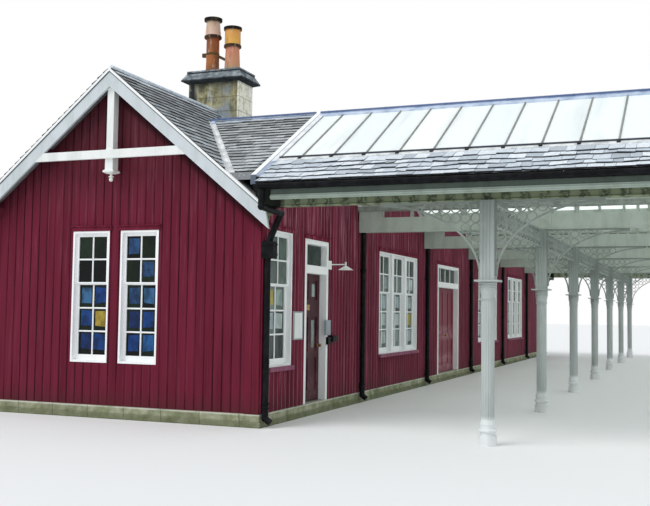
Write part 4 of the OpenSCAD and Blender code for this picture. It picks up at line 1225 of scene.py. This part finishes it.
def ring(piece, centre, z0, z1, inner, outer, sides=32):
    """Band round an upright axis, as prisms of its sides."""
    x, y = centre
    angles = [2 * math.pi * k / sides for k in range(sides + 1)]
    for a, b in zip(angles, angles[1:]):
        outline = [(x + r * math.cos(t), y + r * math.sin(t))
                   for r, t in ((inner, a), (outer, a), (outer, b), (inner, b))]
        piece.upright(outline, z0, z1)


def beam(piece, start, end, width):
    """Square bar between two points."""
    start, end = Vector(start), Vector(end)
    run = (end - start).normalized()
    across = run.cross(Vector((0, 1, 0))).normalized() * width / 2
    deep = run.cross(across).normalized() * width / 2
    corners = [across + deep, across - deep, -across - deep, deep - across]
    piece.prism([tuple(start + c) for c in corners], [tuple(end + c) for c in corners])


def pot_strap():
    """Rusty strap round the taller pot, with its lug and a stay to the other pot."""
    strap = Piece()
    x, y = TALL_POT
    ring(strap, TALL_POT, 6.19, 6.235, 0.114, 0.122)
    strap.box(x - 0.205, x - 0.12, y - 0.03, y + 0.03, 6.18, 6.25)
    beam(strap, (x + 0.12, y, 6.175), (x + 0.28, y, 6.09), 0.05)
    strap.build("pot_strap", rust, bevel=0.004)


def wall_boxes():
    """Grey cabinet beside the single door, and the dark shelf at its lower corner."""
    cabinet = Piece()
    wall = BOARD_T - SINK
    cabinet.box(wall, 0.04, 2.34, 2.545, 1.21, 1.45)
    cabinet.box(0.04, 0.046, 2.348, 2.537, 1.218, 1.442)
    cabinet.box(0.046, 0.052, 2.51, 2.525, 1.31, 1.35)
    cabinet.build("wall_cabinet", grey_box, bevel=0.003)
    shelf = Piece()
    shelf.box(wall, 0.07, 2.56, 2.8, 1.1, 1.2)
    shelf.box(wall, 0.055, 2.41, 2.56, 1.06, 1.18)
    shelf.box(0.07, 0.076, 2.575, 2.785, 1.11, 1.19)
    shelf.build("wall_shelf", black_iron, bevel=0.005)


def letter_plate():
    """Brass letter plate on the rail between the two lights of the single door."""
    plate = Piece()
    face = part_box("door_1_leaf")[1].x - SHIFT.x
    plate.box(face - SINK, face + 0.004, 1.82, 1.99, 1.605, 1.69)
    plate.box(face + 0.004, face + 0.008, 1.84, 1.97, 1.625, 1.67)
    plate.build("letter_plate", brass, "door_1", 0.002)


def notice_frame():
    """Thin grey frame round the notice plate, and its blank white sheet."""
    low, high = (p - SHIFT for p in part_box("notice_plate"))
    edge, sheet = Piece(), Piece()
    back, front, w = high.x - 0.002, high.x + 0.006, 0.02
    for y0, y1, z0, z1 in ((low.y, high.y, low.z, low.z + w),
                           (low.y, high.y, high.z - w, high.z),
                           (low.y, low.y + w, low.z + w, high.z - w),
                           (high.y - w, high.y, low.z + w, high.z - w)):
        edge.box(back, front, y0, y1, z0, z1)
    edge.build("notice_frame", grey_box, bevel=0.002)
    sheet.box(back, back + 0.003, low.y + 0.05, high.y - 0.05, low.z + 0.06, high.z - 0.05)
    sheet.build("notice_sheet", post_white, bevel=0.001)


def pipe_bands():
    """Pairs of astragal rings round each downpipe, under its collars."""
    bands = Piece()
    pipe_x, from_corner = 0.07, 0.045
    for y in (from_corner, LENGTH - from_corner, *(col_y(i) for i in range(1, BAYS))):
        for z in (0.9, 0.87, 1.5, 1.47):
            ring(bands, (pipe_x, y), z, z + 0.012, 0.044, 0.052, 24)
    bands.build("pipe_bands", black_iron)


gable_boards()
wall_boards()
main_slates()
cross_slates()
valley_flashings()
canopy_slates()
chimney_flashing()
glazing()
skew_flashings()
ridge_clips()
eaves_details()
windows()
pot_strap()
wall_boxes()
letter_plate()
notice_frame()
pipe_bands()


# Floor, light and camera


def studio():
    """Pale floor, wide sun and pale sky, which looks plain white where it is seen."""
    bpy.ops.mesh.primitive_plane_add(size=240)
    floor = bpy.context.object
    floor.name = "studio_floor"
    pale = bpy.data.materials.new("studio_floor")
    floor.data.materials.append(pale)
    tree = Tree(pale)
    tree.feed(tree.nodes["Principled BSDF"], {"Base Color": (0.86, 0.86, 0.86, 1),
                                              "Roughness": 0.9})

    world = bpy.data.worlds.new("studio")
    bpy.context.scene.world = world
    tree = Tree(world)
    sky = tree.nodes["Background"]
    tree.feed(sky, {"Color": (0.93, 0.97, 1.0, 1), "Strength": 0.75})
    white = tree.node("Background", {"Color": (1, 1, 1, 1)})
    rays = tree.node("LightPath").outputs
    seen = tree.math("MAXIMUM", rays["Is Camera Ray"], rays["Is Glossy Ray"])
    seen = tree.math("MAXIMUM", seen, rays["Is Transmission Ray"])
    blend = tree.node("MixShader", {0: seen, 1: sky.outputs[0], 2: white.outputs[0]})
    tree.feed(tree.nodes["World Output"], {"Surface": blend.outputs[0]})

    sun = bpy.data.lights.new("sun", "SUN")
    sun.energy = 1.3
    sun.angle = math.radians(35)
    lamp = bpy.data.objects.new("sun", sun)
    lamp.rotation_euler = Vector((-0.45, -0.65, 0.9)).to_track_quat("Z", "Y").to_euler()
    bpy.context.collection.objects.link(lamp)


def camera():
    """Camera of the photograph, whose focal length and width are in pixels."""
    yaw, pitch, roll = (math.radians(a) for a in (21.6332, 3.4765, 0.7795))
    focal, width = 941.16, 650
    lens = bpy.data.cameras.new("camera")
    lens.sensor_width = 36
    lens.sensor_fit = "HORIZONTAL"
    lens.lens = focal / width * lens.sensor_width
    lens.clip_end = 400
    made = bpy.data.objects.new("camera", lens)
    place = Matrix.Translation(Vector((5.5566, -11.6573, 1.6096)) + SHIFT)
    made.matrix_world = (place @ Matrix.Rotation(yaw, 4, "Z")
                         @ Matrix.Rotation(math.pi / 2 + pitch, 4, "X")
                         @ Matrix.Rotation(roll, 4, "Z"))
    bpy.context.collection.objects.link(made)
    bpy.context.scene.camera = made


studio()
camera()
bpy.context.scene.view_settings.view_transform = "Standard"

bpy.context.view_layer.update()
